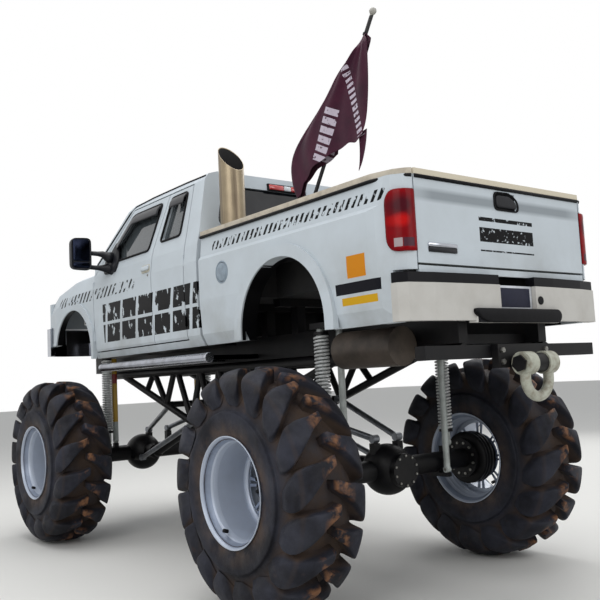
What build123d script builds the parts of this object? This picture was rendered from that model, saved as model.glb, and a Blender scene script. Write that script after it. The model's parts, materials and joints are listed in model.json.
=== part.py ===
from build123d import *
import math
import os

# A lifted diesel pickup on tractor tyres. Millimetres.
# Stations run forward from the centre of the rear wheel arch, offsets run to the left,
# and heights are above the ground. The finished truck is moved so that its length is centred.

# Clearances
seat_gap = 0.3
pin_gap = 0.3
door_gap = 10
panel_gap = 10
flange_setback = 25
past_side = 1200

# Wheels and tyres
tyre_radius = 783
tyre_side = 264
tread_base = 741
shoulder_radius = 700
shoulder_side = 238
crown_side = 115
sidewall_radius = 610
carcass_sides = 51
lugs_per_side = 17
lug_nose = 120
lug_nose_width = 62
lug_tail = 128
lug_tail_width = 122
lug_overlap = 14
lug_side = 274
lug_foot_radius = 640
lug_shoulder_side = 215
lug_end_radius = 690
bead_radius = 330
rim_lip_radius = 354
rim_half_width = 270
rim_lip_width = 15
rim_wall = 8
well_radius = 300
well_half_width = 145
disc_offset = -70
disc_thickness = 14
window_count = 8
window_radius = 215
window_size = 42
drum_radius = 205
drum_depth = 120
hub_radius = 150
cap_radius = 118
cap_length = 95
track_half = 1110

# Axles and steering
rear_axle_x = 84
wheelbase = 3589
axle_tube_radius = 75
diff_radius = 186
front_diff_offset = 190
cover_radius = 120
pinion_reach = 296
pinion_radius = 72
pinion_rise = 15
flange_radius = 150
spindle_radius = 60
spindle_reach = 130
kingpin_offset = 760
kingpin_radius = 25
knuckle_radius = 68
knuckle_half_height = 80
yoke_thickness = 32
yoke_half_width = 62
arm_length = 250
arm_width = 50
arm_thickness = 36
arm_height = 30
tie_rod_radius = 18
tie_pin_radius = 12
wheel_clearance = 6
pad_half = 28

# Suspension
coil_offset = 600
coil_behind = 44
coil_bottom = 1010
coil_top = 1790
coil_radius = 55
damper_top = 1810
damper_radius = 30
damper_eye = 930
shock_offset = 500
shock_behind = 124
shock_bottom = 735
shock_radius = 24
front_shock_radius = 30
front_shock_bottom = 930
link_radius = 24
link_eye_radius = 30
link_face = 200
link_drop = 41
link_axle_offset = 310
upper_link_offset = 115
upper_link_height = 1010
link_frame_offset = 330

# Lower truss frame
chord_offset = 400
chord_height = 1600
chord_radius = 38
brace_radius = 28
lower_chord_height = 1128
truss_middle = 1878
truss_half = 354
truss_end = 1750
cross_half = 830
tow_beam_x = -1150
tow_beam_size = 80
tow_beam_half = 820

# Ladder frame under the body
rail_offset = 350
rail_width = 80
rail_height = 180
rail_front = 4300
crossmember_width = 90
crossmember_height = 60
puck_radius = 45
body_floor = 1835
engine_back = 3230
engine_front = 4050
gearbox_back = 2480
shaft_radius = 45
joint_radius = 55
case_half = 140
case_high = 1330

# Cab
cab_back = 1090
cab_front = 3130
rocker_height = 1765
cab_wall = 55
tunnel_half = 620
cab_roof = 3212
door_bottom = 1825
door_reach = 700
hinge_radius = 4.7
hinge_offset = 960
hinge_length = 90
hinge_leaf = 12
door_front = 3077
door_split = 1858
door_back = 1292
door_top = 3105
belt_height = 2640
window_top = 3050
glass_depth = 25
glass_thickness = 8
flange_depth = 15
board_back = 2830
steering_x = 2690
steering_y = 370
steering_height = 2515
steering_radius = 185

# Nose
nose_back = 3082
nose_front = 4380
panel_wall = 45
hood_half = 825
hood_back = 3140
hood_front = 4368
hood_hinge_side = 320
hood_hinge_height = 2638
front_arch_x = 3593
front_arch_height = 1812
arch_radius = 470
flare_width = 85
flare_stand = 30
fascia_depth = 60
fascia_half = 900
fascia_bottom = 2150
fascia_top = 2490
grille_half = 520
headlamp_inner = 560
headlamp_outer = 870
headlamp_bottom = 2200
headlamp_top = 2400

# Bed
bed_back = -1130
bed_front = 1056
bed_side = 962
bed_wall_inner = 840
bed_wall_top = 2614
bed_floor_top = 2120
bed_floor_thickness = 40
rear_arch_height = 1822
gate_half = 806
gate_thickness = 55
gate_bottom = 2098
corner_bottom = 2060
trunnion_inset = 20
trunnion_radius = 12
floor_gap = 15
front_wall = 32
cap_thickness = 36
tub_half = 520
tub_inner = 600
tub_top = 2345
tub_wall = 20
stack_well = 10
sill_half = 590
sill_width = 80
sill_height = 60
lamp_bottom = 2170
lamp_top = 2527
lamp_front = -1010
lamp_corner = 62
lamp_inner = 880
lamp_depth = 40

# Bumpers
bumper_side_x = -1045
bumper_back = -1192
bumper_half = 955
bumper_bottom = 1765
bumper_top = 1983
bumper_thickness = 50
pad_height = 60
plate_half = 175
plate_face = -1150
step_top = 1830
step_half = 430
front_bumper_x = 4540
front_bumper_side = 4290
front_bumper_bottom = 1850
front_bumper_top = 2150

# Fittings
stack_x = 916
stack_y = 712
stack_radius = 100
stack_wall = 4
stack_low = 3115
stack_high = 3349
pole_x = 135
pole_y = 700
pole_radius = 13
pole_top_x = -775
pole_top = 3760
ball_radius = 24
flag_thickness = 110
step_offset = 1000
step_height = 1665
step_radius = 38
step_back = 880
step_front = 2823
tank_x = -720
tank_length = 550
tank_y = 566
tank_height = 1645
tank_radius = 125
hitch_half = 250
hitch_bottom = 1478
hitch_depth = 50
lug_half = 50
lug_radius = 60
shackle_x = -1280
shackle_height = 1500
shackle_pin_radius = 37
shackle_half = 145
shackle_bar = 32
shackle_drop = 235
shackle_ear = 70
mirror_x = 2680
mirror_y = 1250
mirror_height = 2712

hub_height = tyre_radius
front_axle_x = rear_axle_x + wheelbase
rail_bottom = chord_height + chord_radius + seat_gap
rail_top = rail_bottom + rail_height
bed_floor_under = bed_floor_top - bed_floor_thickness
length_centre = (front_bumper_x + shackle_x - shackle_ear) / 2


def outline(points, radius=0):
    """A closed flat outline of straight runs, its corners rounded where a radius is given."""
    if radius:
        return make_face(FilletPolyline(*points, radius=radius, close=True))
    return make_face(Polyline(*points, close=True))


def across(face, low, high):
    """Carry an outline of station and height across the truck, from offset low to high."""
    upright = Rot(90, 0, 0) * face
    return extrude(Pos(0, low, 0) * upright, amount=high - low, dir=(0, 1, 0))


def along(face, low, high):
    """Carry an outline of offset and height along the truck, from station low to high."""
    upright = Rot(0, 0, 90) * Rot(90, 0, 0) * face
    return extrude(Pos(low, 0, 0) * upright, amount=high - low, dir=(1, 0, 0))


def rise(face, low, high):
    """Carry an outline of station and offset upward, from height low to high."""
    return extrude(Pos(0, 0, low) * face, amount=high - low, dir=(0, 0, 1))


def block(x0, x1, y0, y1, z0, z1):
    """A plain block between two corners."""
    centre = Pos((x0 + x1) / 2, (y0 + y1) / 2, (z0 + z1) / 2)
    return centre * Box(x1 - x0, y1 - y0, z1 - z0)


def rod(start, end, radius):
    """A round bar from one point to another."""
    run = Vector(*end) - Vector(*start)
    upward = (Align.CENTER, Align.CENTER, Align.MIN)
    return Plane(origin=start, z_dir=run) * Cylinder(radius, run.length, align=upward)


def both(solid):
    """The piece and its mirror image on the other side of the truck."""
    return [solid, mirror(solid, about=Plane.XZ)]


def full(half):
    """The whole of a symmetric outline, from its half on the left."""
    return half + [(-y, z) for y, z in reversed(half)]


def whole_plan(half):
    """The whole of a symmetric plan of station and offset, from its half on the left."""
    return half + [(x, -y) for x, y in reversed(half)]


def apart(*solids):
    """Separate solids kept in one piece of the truck."""
    loose = []
    for item in solids:
        if isinstance(item, (list, tuple)):
            loose += [solid for part in item for solid in part.solids()]
        else:
            loose += item.solids()
    return Compound(loose)


# Wheels

def tyre_lug(side):
    """One bar of the tread at the top of the wheel, its nose ahead of its outer end."""
    points = [(lug_nose, -lug_overlap), (lug_nose - lug_nose_width, -lug_overlap),
              (-lug_tail, lug_shoulder_side), (-lug_tail, lug_side),
              (lug_tail_width - lug_tail, lug_side)]
    if side < 0:
        points = [(x, -y) for x, y in points]
    flat_top = math.sqrt(tyre_radius ** 2 - lug_nose ** 2)
    bar = rise(outline(points), lug_foot_radius, flat_top)
    shoulder = [(lug_shoulder_side, flat_top), (lug_side, lug_end_radius),
                (lug_side + 1, lug_end_radius), (lug_side + 1, flat_top + 1),
                (lug_shoulder_side, flat_top + 1)]
    wedge = along(outline([(side * y, z) for y, z in shoulder]), -2 * lug_tail, 2 * lug_tail)
    return bar - wedge


def tyre():
    """Carcass and two rows of tread bars, which stand on the corner of a nose."""
    rows = [(-tyre_side, sidewall_radius), (-shoulder_side, shoulder_radius), (-crown_side, tread_base),
            (crown_side, tread_base), (shoulder_side, shoulder_radius), (tyre_side, sidewall_radius)]
    rings = [Pos(0, y, 0) * Rot(90, 0, 0) * RegularPolygon(radius, carcass_sides) for y, radius in rows]
    carcass = loft(rings, ruled=True)
    pitch = 360 / lugs_per_side
    lugs = []
    for turn in range(lugs_per_side):
        lugs.append(Rot(0, turn * pitch, 0) * tyre_lug(1))
        lugs.append(Rot(0, (turn + 0.5) * pitch, 0) * tyre_lug(-1))
    body = carcass.fuse(*lugs)
    body -= Rot(90, 0, 0) * Cylinder(bead_radius + seat_gap, 3 * tyre_side)
    seat_depth = rim_half_width - rim_lip_width - seat_gap
    for side in (1, -1):
        flange = Pos(0, side * (seat_depth + tyre_side), 0) * Rot(90, 0, 0)
        body -= flange * Cylinder(rim_lip_radius + 2 * seat_gap, 2 * tyre_side)
    nose_angle = math.degrees(math.asin(lug_nose / tyre_radius))
    return Rot(0, 180 - nose_angle, 0) * body


def wheel():
    """Deep steel rim with its disc, brake drum and hub, blind bored for the spindle."""
    side = rim_half_width
    seat = side - rim_lip_width
    slope = bead_radius - well_radius
    half = [(rim_lip_radius, side), (rim_lip_radius, seat), (bead_radius, seat),
            (bead_radius, well_half_width + slope), (well_radius, well_half_width)]
    inside = [(well_radius - rim_wall, well_half_width - rim_wall / 2),
              (bead_radius - rim_wall, well_half_width + slope - rim_wall / 2),
              (bead_radius - rim_wall, seat), (rim_lip_radius - rim_wall, side)]
    ring = half + [(r, -y) for r, y in reversed(half)]
    ring += [(r, -y) for r, y in reversed(inside)] + inside
    barrel = revolve(outline(ring), axis=Axis.Y)
    disc_low = disc_offset - disc_thickness / 2
    disc_high = disc_offset + disc_thickness / 2
    disc = Pos(0, disc_offset, 0) * Rot(90, 0, 0) * Cylinder(well_radius - rim_wall / 2, disc_thickness)
    window = SlotCenterToCenter(window_size, 2 * window_size)
    for turn in range(window_count):
        hole = Rot(0, turn * 360 / window_count, 0) * Pos(0, disc_low - 1, window_radius)
        disc -= hole * across(window, 0, disc_thickness + 2)
    inner = -rim_half_width
    hub_points = [(0, inner), (drum_radius, inner), (drum_radius, inner + drum_depth), (hub_radius, disc_low),
                  (hub_radius, disc_high + 20), (cap_radius, disc_high + 30), (cap_radius, cap_length),
                  (cap_radius - 30, cap_length + 25), (0, cap_length + 25)]
    hub = revolve(outline(hub_points), axis=Axis.Y)
    bore = rod((0, inner - 2, 0), (0, inner + spindle_reach + 20, 0), spindle_radius + pin_gap)
    return barrel + disc + hub - bore


def place_wheel(local, x, side):
    """Put a left-hand wheel piece at its axle, or its mirror image on the right."""
    left = Pos(x, track_half, hub_height) * local
    return left if side > 0 else mirror(left, about=Plane.XZ)


# Axles

def spindle(side, root):
    """Stub that carries a wheel, from its root outward."""
    end = track_half - rim_half_width + spindle_reach
    return rod((0, side * root, 0), (0, side * end, 0), spindle_radius)


def differential():
    """Round axle centre with its cover ring behind and its pinion nose in front."""
    nose = rod((0, 0, pinion_rise), (pinion_reach, 0, pinion_rise), pinion_radius)
    cover = rod((-diff_radius - 6, 0, 0), (0, 0, 0), cover_radius)
    return Sphere(diff_radius) + nose + cover


def bracket(x, y, low, high):
    """Pad on the axle tube, reaching to a suspension eye."""
    return block(min(x, 0) - 20, max(x, 0) + 20, y - 25, y + 25, low, high)


def link_brackets(way):
    """Pads of one axle for its lower and upper locating bars."""
    pads = []
    back, front = sorted((0, way * link_face))
    top = upper_link_height - link_eye_radius - seat_gap - hub_height
    for side in (1, -1):
        y = side * link_axle_offset
        pads.append(block(back, front, y - pad_half, y + pad_half, -link_drop - link_eye_radius,
                          -link_drop + link_eye_radius))
        y = side * upper_link_offset
        pads.append(block(-pad_half, pad_half, y - pad_half, y + pad_half, axle_tube_radius / 2, top))
    return pads


def rear_axle():
    """Rear axle housing with its spindles and suspension pads."""
    end = track_half - rim_half_width - wheel_clearance
    housing = rod((0, -end, 0), (0, end, 0), axle_tube_radius) + differential()
    coil_pad = damper_eye - damper_radius - seat_gap - hub_height
    for side in (1, -1):
        housing += rod((0, side * (end - 25), 0), (0, side * end, 0), flange_radius)
        housing += spindle(side, end)
        housing += bracket(-coil_behind, side * coil_offset, 0, coil_pad)
        shock_pad = shock_bottom - shock_radius - seat_gap - hub_height
        housing += bracket(-shock_behind, side * shock_offset, shock_pad - 30, shock_pad)
        housing += block(-60, 20, side * shock_offset - 25, side * shock_offset + 25, shock_pad - 30, 0)
    housing = housing.fuse(*link_brackets(1))
    return Pos(rear_axle_x, 0, hub_height) * housing


def front_axle():
    """Front axle housing with offset centre and a yoke at each end for the kingpins."""
    yoke_root = kingpin_offset - knuckle_radius - wheel_clearance
    housing = rod((0, -yoke_root, 0), (0, yoke_root, 0), axle_tube_radius)
    housing += Pos(0, front_diff_offset, 0) * Rot(0, 0, 180) * differential()
    reach = knuckle_half_height + yoke_thickness
    low = knuckle_half_height + seat_gap
    for side in (1, -1):
        web = block(-yoke_half_width, yoke_half_width, yoke_root - 40, yoke_root, -reach, reach)
        for level in (1, -1):
            ear = block(-yoke_half_width, yoke_half_width, yoke_root - 40, kingpin_offset, low, reach)
            ear += Pos(0, kingpin_offset, (low + reach) / 2) * Cylinder(yoke_half_width, reach - low)
            web += ear if level > 0 else mirror(ear, about=Plane.XY)
        web += Pos(0, kingpin_offset, 0) * Cylinder(kingpin_radius, 2 * reach)
        housing += web if side > 0 else mirror(web, about=Plane.XZ)
        coil_pad = damper_eye - damper_radius - seat_gap - hub_height
        housing += bracket(-coil_behind, side * coil_offset, 0, coil_pad)
        shock_pad = front_shock_bottom - front_shock_radius - seat_gap - hub_height
        housing += bracket(0, side * shock_offset, 0, shock_pad)
    housing = housing.fuse(*link_brackets(-1))
    return Pos(front_axle_x, 0, hub_height) * housing


def knuckle(side):
    """Steering knuckle: barrel on the kingpin, spindle outward and arm forward."""
    root = kingpin_offset
    body = Pos(0, root, 0) * Cylinder(knuckle_radius, 2 * knuckle_half_height)
    end = track_half - rim_half_width - wheel_clearance
    body += rod((0, root, 0), (0, end, 0), spindle_radius + 5)
    body += spindle(1, root)
    half = arm_width / 2
    body += block(0, arm_length, root - half, root + half, arm_height - arm_thickness, arm_height)
    body += Pos(arm_length, root, arm_height - arm_thickness / 2) * Cylinder(half, arm_thickness)
    body -= Pos(0, root, 0) * Cylinder(kingpin_radius + pin_gap, 3 * knuckle_half_height)
    body -= Pos(arm_length, root, arm_height) * Cylinder(tie_pin_radius + pin_gap, 3 * arm_thickness)
    body = Pos(front_axle_x, 0, hub_height) * body
    return body if side > 0 else mirror(body, about=Plane.XZ)


def tie_rod():
    """Bar across the front between the steering arms, with a pin down into each arm."""
    x = front_axle_x + arm_length
    z = hub_height + arm_height + seat_gap + tie_rod_radius
    reach = kingpin_offset + tie_rod_radius
    bar = rod((x, -reach, z), (x, reach, z), tie_rod_radius)
    for y in (kingpin_offset, -kingpin_offset):
        bar += rod((x, y, z), (x, y, hub_height + arm_height - arm_thickness), tie_pin_radius)
    return bar


# Suspension

def coil_lines():
    """Station, side and eye-to-top line of each of the four coil springs."""
    return [(axle - coil_behind, side) for axle in (rear_axle_x, front_axle_x) for side in (1, -1)]


def springs():
    """Four coil springs as sleeves around their dampers."""
    sleeve = Cylinder(coil_radius, coil_top - coil_bottom)
    sleeve -= Cylinder(damper_radius + seat_gap, 2 * coil_top)
    middle = (coil_top + coil_bottom) / 2
    return apart([Pos(x, side * coil_offset, middle) * sleeve for x, side in coil_lines()])


def dampers():
    """The coils' dampers with their end eyes, and four long shock absorbers."""
    pieces = []
    for x, side in coil_lines():
        y = side * coil_offset
        core = rod((x, y, damper_eye), (x, y, damper_top), damper_radius)
        core += rod((x, y - 20, damper_eye), (x, y + 20, damper_eye), damper_radius)
        pieces.append(core)
    for side in (1, -1):
        y = side * shock_offset
        x = rear_axle_x - shock_behind
        shock = rod((x, y, shock_bottom), (x, y, damper_top), shock_radius)
        pieces.append(shock + rod((x, y - 20, shock_bottom), (x, y + 20, shock_bottom), shock_radius))
        x = front_axle_x
        shock = rod((x, y, front_shock_bottom), (x, y, damper_top), front_shock_radius)
        eye = rod((x, y - 20, front_shock_bottom), (x, y + 20, front_shock_bottom), front_shock_radius)
        pieces.append(shock + eye)
    return apart(*pieces)


def link(start, end):
    """Locating bar with an eye across each end."""
    bar = rod(start, end, link_radius)
    for x, y, z in (start, end):
        bar += rod((x, y - 28, z), (x, y + 28, z), link_eye_radius)
    return bar


def links():
    """Lower and upper locating bars from each axle to the truss."""
    bars = []
    standoff = link_eye_radius + brace_radius + seat_gap
    for axle, way in ((rear_axle_x, 1), (front_axle_x, -1)):
        low_end = truss_middle - way * (truss_half + standoff)
        high_end = truss_middle - way * (cross_half + standoff)
        for side in (1, -1):
            frame_side = side * link_frame_offset
            low_start = (axle + way * (link_face + link_eye_radius + seat_gap), side * link_axle_offset,
                         hub_height - link_drop)
            bars.append(link(low_start, (low_end, frame_side, lower_chord_height)))
            high_start = (axle, side * upper_link_offset, upper_link_height)
            bars.append(link(high_start, (high_end, frame_side, chord_level(cross_half))))
    return apart(*bars)


# Frames

def chord_level(reach):
    """Height of the lower chord at a distance from the truss's middle."""
    slope = (chord_height - 10 - lower_chord_height) / (truss_end - truss_half)
    return lower_chord_height + max(0, reach - truss_half) * slope


def truss_side():
    """One side of the tubular truss, in the plane of its chords."""
    y = chord_offset
    back, front = truss_middle - truss_end, truss_middle + truss_end
    low_back, low_front = truss_middle - truss_half, truss_middle + truss_half
    upper = (y, chord_height)
    frame = rod((tow_beam_x + tow_beam_size + seat_gap, *upper), (front + 380, *upper), chord_radius)
    low = [(back, y, chord_height - 10), (low_back, y, lower_chord_height),
           (low_front, y, lower_chord_height), (front, y, chord_height - 10)]
    for start, end in zip(low, low[1:]):
        frame += rod(start, end, brace_radius + 4)
    # Braces: distance of the upper end from the middle, distance of the lower end
    for top, foot in ((160, 10), (160, truss_half), (590, truss_half), (660, cross_half), (1060, cross_half),
                      (1080, 1240)):
        for way in (1, -1):
            foot_end = (truss_middle + way * foot, y, chord_level(foot))
            frame += rod((truss_middle + way * top, *upper), foot_end, brace_radius)
    return frame


def truss():
    """Both sides of the truss, the tubes between them and the spring towers."""
    pieces = both(truss_side())
    inner = chord_offset - brace_radius - 4 - seat_gap
    for reach in (truss_half, cross_half):
        for way in (1, -1):
            x, z = truss_middle + way * reach, chord_level(reach)
            pieces.append(rod((x, -inner, z), (x, inner, z), brace_radius))
    pieces += both(tower(rear_axle_x - shock_behind, rear_axle_x - coil_behind))
    pieces += both(tower(front_axle_x - coil_behind, front_axle_x))
    return apart(pieces)


def tower(back, front):
    """Outrigger on the rail that carries the tops of a coil and a shock."""
    outer = coil_offset + 50
    inner = chord_offset - 20
    top = damper_top + seat_gap
    foot = rail_top + seat_gap
    post = [(inner, foot), (inner + 60, foot), (inner + 60, top), (outer, top), (outer, top + 40),
            (inner, top + 40)]
    return along(outline(post), back - 50, front + 60)


def frame():
    """Two rails of the ladder frame, its crossmembers and the rubber pucks below the cab."""
    outer = rail_offset + rail_width
    pieces = both(block(bed_back + 70, rail_front, rail_offset, outer, rail_bottom, rail_top))
    inner = rail_offset - seat_gap
    half = crossmember_width / 2
    for x in (-900, 250, 1000, 1900, 2700, 3350, 3950, 4240):
        pieces.append(block(x - half, x + half, -inner, inner, rail_bottom, rail_bottom + crossmember_height))
    middle = rail_offset + rail_width / 2
    for x in (1250, 2050, 2950):
        low, high = rail_top + seat_gap, body_floor - seat_gap
        pieces += both(Pos(x, middle, (low + high) / 2) * Cylinder(puck_radius, high - low))
    return apart(pieces)


def engine():
    """Engine and gearbox as one plain block between the rails."""
    low = rail_bottom + crossmember_height + seat_gap
    block_body = block(engine_back, engine_front, -330, 330, low, 2400)
    gearbox = block(gearbox_back, engine_back - seat_gap, -150, 150, low, body_floor - 30)
    return apart(block_body, gearbox)


def driveline():
    """Transfer case in the truss and the shafts to both axles, with a round joint at each end."""
    case_low = lower_chord_height + brace_radius + seat_gap
    reach = truss_half + 40
    case = block(truss_middle - reach, truss_middle + reach, -case_half, case_half, case_low, case_high)
    gap = joint_radius + seat_gap
    pieces = [case]
    # Axle, way to the truss's middle, offset at the axle, offset at the case
    lines = ((rear_axle_x, 1, 0, 0), (front_axle_x, -1, front_diff_offset, 60))
    for axle, way, axle_side, case_side in lines:
        start = (axle + way * (pinion_reach + gap), axle_side, hub_height + pinion_rise)
        end = (truss_middle - way * (reach + gap), case_side, (case_low + case_high) / 2)
        shaft = rod(start, end, shaft_radius)
        for x, y, z in (start, end):
            shaft += Pos(x, y, z) * Sphere(joint_radius)
        pieces.append(shaft)
    return apart(*pieces)


def tow_hitch():
    """Beam across the back of the truss with the tow block and its single lug."""
    top = chord_height + 21
    back, half = tow_beam_x - hitch_depth, tow_beam_half
    beam = block(tow_beam_x, tow_beam_x + tow_beam_size, -half, half, top - tow_beam_size, top)
    beam += block(back, tow_beam_x, -hitch_half, hitch_half, hitch_bottom, top)
    low, high = shackle_height - lug_radius, shackle_height + lug_radius
    beam += block(shackle_x, back, -lug_half, lug_half, low, high)
    eye = Pos(shackle_x, 0, shackle_height) * Rot(90, 0, 0)
    beam += eye * Cylinder(lug_radius, 2 * lug_half)
    return beam - eye * Cylinder(shackle_pin_radius + pin_gap, 4 * lug_half)


def shackle():
    """Bow shackle hanging from the tongue, its pin across the truck."""
    bow_offset = shackle_half - shackle_bar
    ear_inner = lug_half + 4
    ear_outer = shackle_half
    bow_top = shackle_height - 40
    drop = shackle_height - shackle_drop + bow_offset + shackle_bar
    pin_end = ear_outer + 12
    x, z = shackle_x, shackle_height
    piece = rod((x, -pin_end, z), (x, pin_end, z), shackle_pin_radius)
    for side in (1, -1):
        piece += rod((x, side * ear_inner, z), (x, side * ear_outer, z), shackle_ear)
        piece += rod((x, side * bow_offset, drop), (x, side * bow_offset, bow_top), shackle_bar)
    ring = Pos(x, 0, drop) * Rot(0, 90, 0) * Torus(bow_offset, shackle_bar)
    piece += ring & block(x - 200, x + 200, -300, 300, drop - 300, drop)
    return piece


# Cab

def cab_form(inset):
    """The cab's outside, or the same form drawn in by a wall: side view, front view and tunnel."""
    side = [(cab_back, rocker_height), (cab_front, rocker_height), (cab_front, 2645), (2500, 3158),
            (2250, 3200), (1500, cab_roof), (1165, 3192), (cab_back, 2660)]
    half = [(905, rocker_height), (945, 1850), (962, 2150), (962, 2430), (945, 2565), (928, belt_height),
            (812, 3115), (772, 3166), (690, 3192), (300, cab_roof)]
    profile, section = outline(side), outline(full(half))
    if inset:
        profile = offset(profile, -inset, kind=Kind.INTERSECTION)
        section = offset(section, -inset, kind=Kind.INTERSECTION)
    body = across(profile, -past_side, past_side) & along(section, cab_back - 50, cab_front + 50)
    tunnel, floor = tunnel_half + inset, body_floor + inset
    return body - block(cab_back - 60, cab_front + 60, -tunnel, tunnel, rocker_height - 60, floor)


def inward(points, amount):
    """A side-view outline drawn in by an amount, or out where it is negative."""
    return offset(outline(points), -amount, kind=Kind.INTERSECTION)


def door_outlines():
    """Side-view outlines of the two left doors, with the sloped seam between them."""
    split_low, split_top = (door_split, belt_height), (door_split - 130, door_top)
    front = [(door_split, door_bottom), (door_front, door_bottom), (door_front, 2560), (2425, door_top),
             split_top, split_low]
    rear = [(door_back, door_bottom), (door_split, door_bottom), split_low, split_top,
            (door_back + 30, door_top), (door_back, belt_height)]
    return {"front": front, "rear": rear}


def window_outlines():
    """Side-view outlines of the two left door windows."""
    front = [(1945, belt_height + 6), (2850, belt_height + 6), (2400, window_top - 10), (2330, window_top),
             (1835, window_top)]
    rear = [(1400, belt_height + 46), (1745, belt_height + 46), (1665, window_top + 10),
            (1395, window_top + 10)]
    return {"front": front, "rear": rear}


def door(name, shell, core):
    """A left door: its outer flange fills the opening, and its thicker inner body is set back from it."""
    edge = door_outlines()[name]
    flange = (shell - core) & across(inward(edge, door_gap / 2), door_reach, past_side)
    body = (shell & core) & across(inward(edge, door_gap / 2 + flange_setback), door_reach, past_side)
    panel = flange + body
    x, way = (door_front, 1) if name == "front" else (door_back, -1)
    for z in (door_bottom + 150, belt_height - 180):
        panel += Pos(x, hinge_offset, z) * Cylinder(hinge_radius, hinge_length)
        near, far = sorted((x, x - way * hinge_leaf))
        low = z - hinge_length / 2
        panel += block(near, far, hinge_offset - hinge_leaf, hinge_offset, low, low + hinge_length)
    return panel - across(outline(window_outlines()[name], 40), 0, past_side)


def glass(name, layer):
    """The window glass of a left door."""
    edge = offset(outline(window_outlines()[name], 40), -seat_gap)
    return layer & across(edge, 0, past_side)


def windscreen_openings(margin):
    """Cutters of the windscreen and the rear window, drawn in by a margin."""
    cutters = []
    # Outline's left half, first station, last station
    for half, low, high in (([(845, 2690), (715, 3095)], 2420, cab_front + 50),
                            ([(745, 2720), (660, 3080)], cab_back - 50, cab_back + 160)):
        edge = outline(full(half), 60)
        cutters.append(along(offset(edge, -margin) if margin else edge, low, high))
    return cutters


def cab_group():
    """Cab shell, its doors and all its glass."""
    outer, inner, core = cab_form(0), cab_form(cab_wall), cab_form(flange_depth)
    shell = outer - inner
    layer = cab_form(glass_depth) - cab_form(glass_depth + glass_thickness)
    pieces = {}
    cab = shell
    for name, edge in door_outlines().items():
        left = door(name, shell, core)
        pane = glass(name, layer)
        for side, solid in zip(("left", "right"), both(left)):
            pieces[f"door_{name}_{side}"] = solid
        for side, solid in zip(("left", "right"), both(pane)):
            pieces[f"glass_{name}_{side}"] = solid
        opening = across(inward(edge, -door_gap / 2), door_reach, past_side)
        for half in both(opening):
            cab -= half
    panes = []
    for cutter, pane in zip(windscreen_openings(0), windscreen_openings(seat_gap)):
        cab -= cutter
        panes.append(layer & pane)
    wall_line = bed_side - panel_wall - seat_gap
    step = outline([(wall_line - 45, rocker_height - 1), (wall_line, 1850), (wall_line, cab_roof),
                    (past_side, cab_roof), (past_side, rocker_height - 1)])
    for corner in both(along(step, nose_back - 1, cab_front + 10)):
        cab -= corner
    pieces["cab"] = cab
    pieces["cab_glass"] = apart(panes)
    return pieces


def seats():
    """Two front seats and a rear bench on the cab floor."""
    floor = body_floor + cab_wall + seat_gap
    side = [(0, 0), (520, 0), (540, 330), (120, 300), (0, 880), (-110, 870), (-60, 300)]
    pieces = both(across(outline([(2060 + x, floor + z) for x, z in side]), 110, 640))
    bench = [(0, 0), (300, 0), (380, 320), (110, 300), (60, 800), (-40, 800), (-20, 300)]
    pieces.append(across(outline([(1290 + x, floor + z) for x, z in bench]), -600, 600))
    return apart(pieces)


def dashboard():
    """Dashboard across the cab with its steering wheel and column."""
    front = cab_front - cab_wall - seat_gap
    shelf = [(board_back, 2300), (front, 2250), (front, 2600), (board_back + 70, 2610), (board_back, 2540)]
    board = across(outline(shelf), -820, 820)
    lean = Plane(origin=(steering_x, steering_y, steering_height), z_dir=(-150, 0, 70))
    column = lean * Pos(0, 0, -90) * Cylinder(28, 190)
    rim = lean * Torus(steering_radius, 16)
    spokes = lean * Box(60, 2 * steering_radius, 14) + lean * Box(2 * steering_radius, 60, 14)
    return board + column + rim + spokes


# Nose

def nose_form(inset):
    """The nose from the cowl to the lamps: sections of station, half width, side top and crown."""
    rows = [(nose_back, 962, 2612, 2668), (front_arch_x, 962, 2600, 2655), (4100, 950, 2520, 2592),
            (nose_front, 905, 2450, 2520)]
    if inset:
        rows[0] = (nose_back - 60, *rows[0][1:])
        rows[-1] = (nose_front + 60, *rows[-1][1:])
    faces = []
    for x, width, top, crown in rows:
        wide = width - inset
        low = rocker_height - (1 if inset else 0)
        half = [(wide - 40, low), (wide, 1850), (wide, top - 170), (wide - 40, top - 35 - inset / 2),
                (wide - 105, top - inset), (wide - 500, crown - inset)]
        faces.append(Pos(x, 0, 0) * Rot(0, 0, 90) * Rot(90, 0, 0) * outline(full(half)))
    return loft(faces, ruled=True)


def arch(x, height, radius, low, high):
    """Round of a wheel arch, open to below, between two offsets."""
    points = Pos(x, height) * Circle(radius)
    legs = Pos(x, height - 200) * Rectangle(2 * radius, 400)
    return across((points + legs).face(), low, high)


def flare(x, height, half_width):
    """Raised lip around a wheel arch, down to the sill."""
    lip = arch(x, height, arch_radius + flare_width, half_width - 12, half_width + flare_stand)
    lip -= arch(x, height, arch_radius, half_width - 50, half_width + 100)
    return lip & block(x - 900, x + 900, 0, past_side, rocker_height, height + 900)


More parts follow.
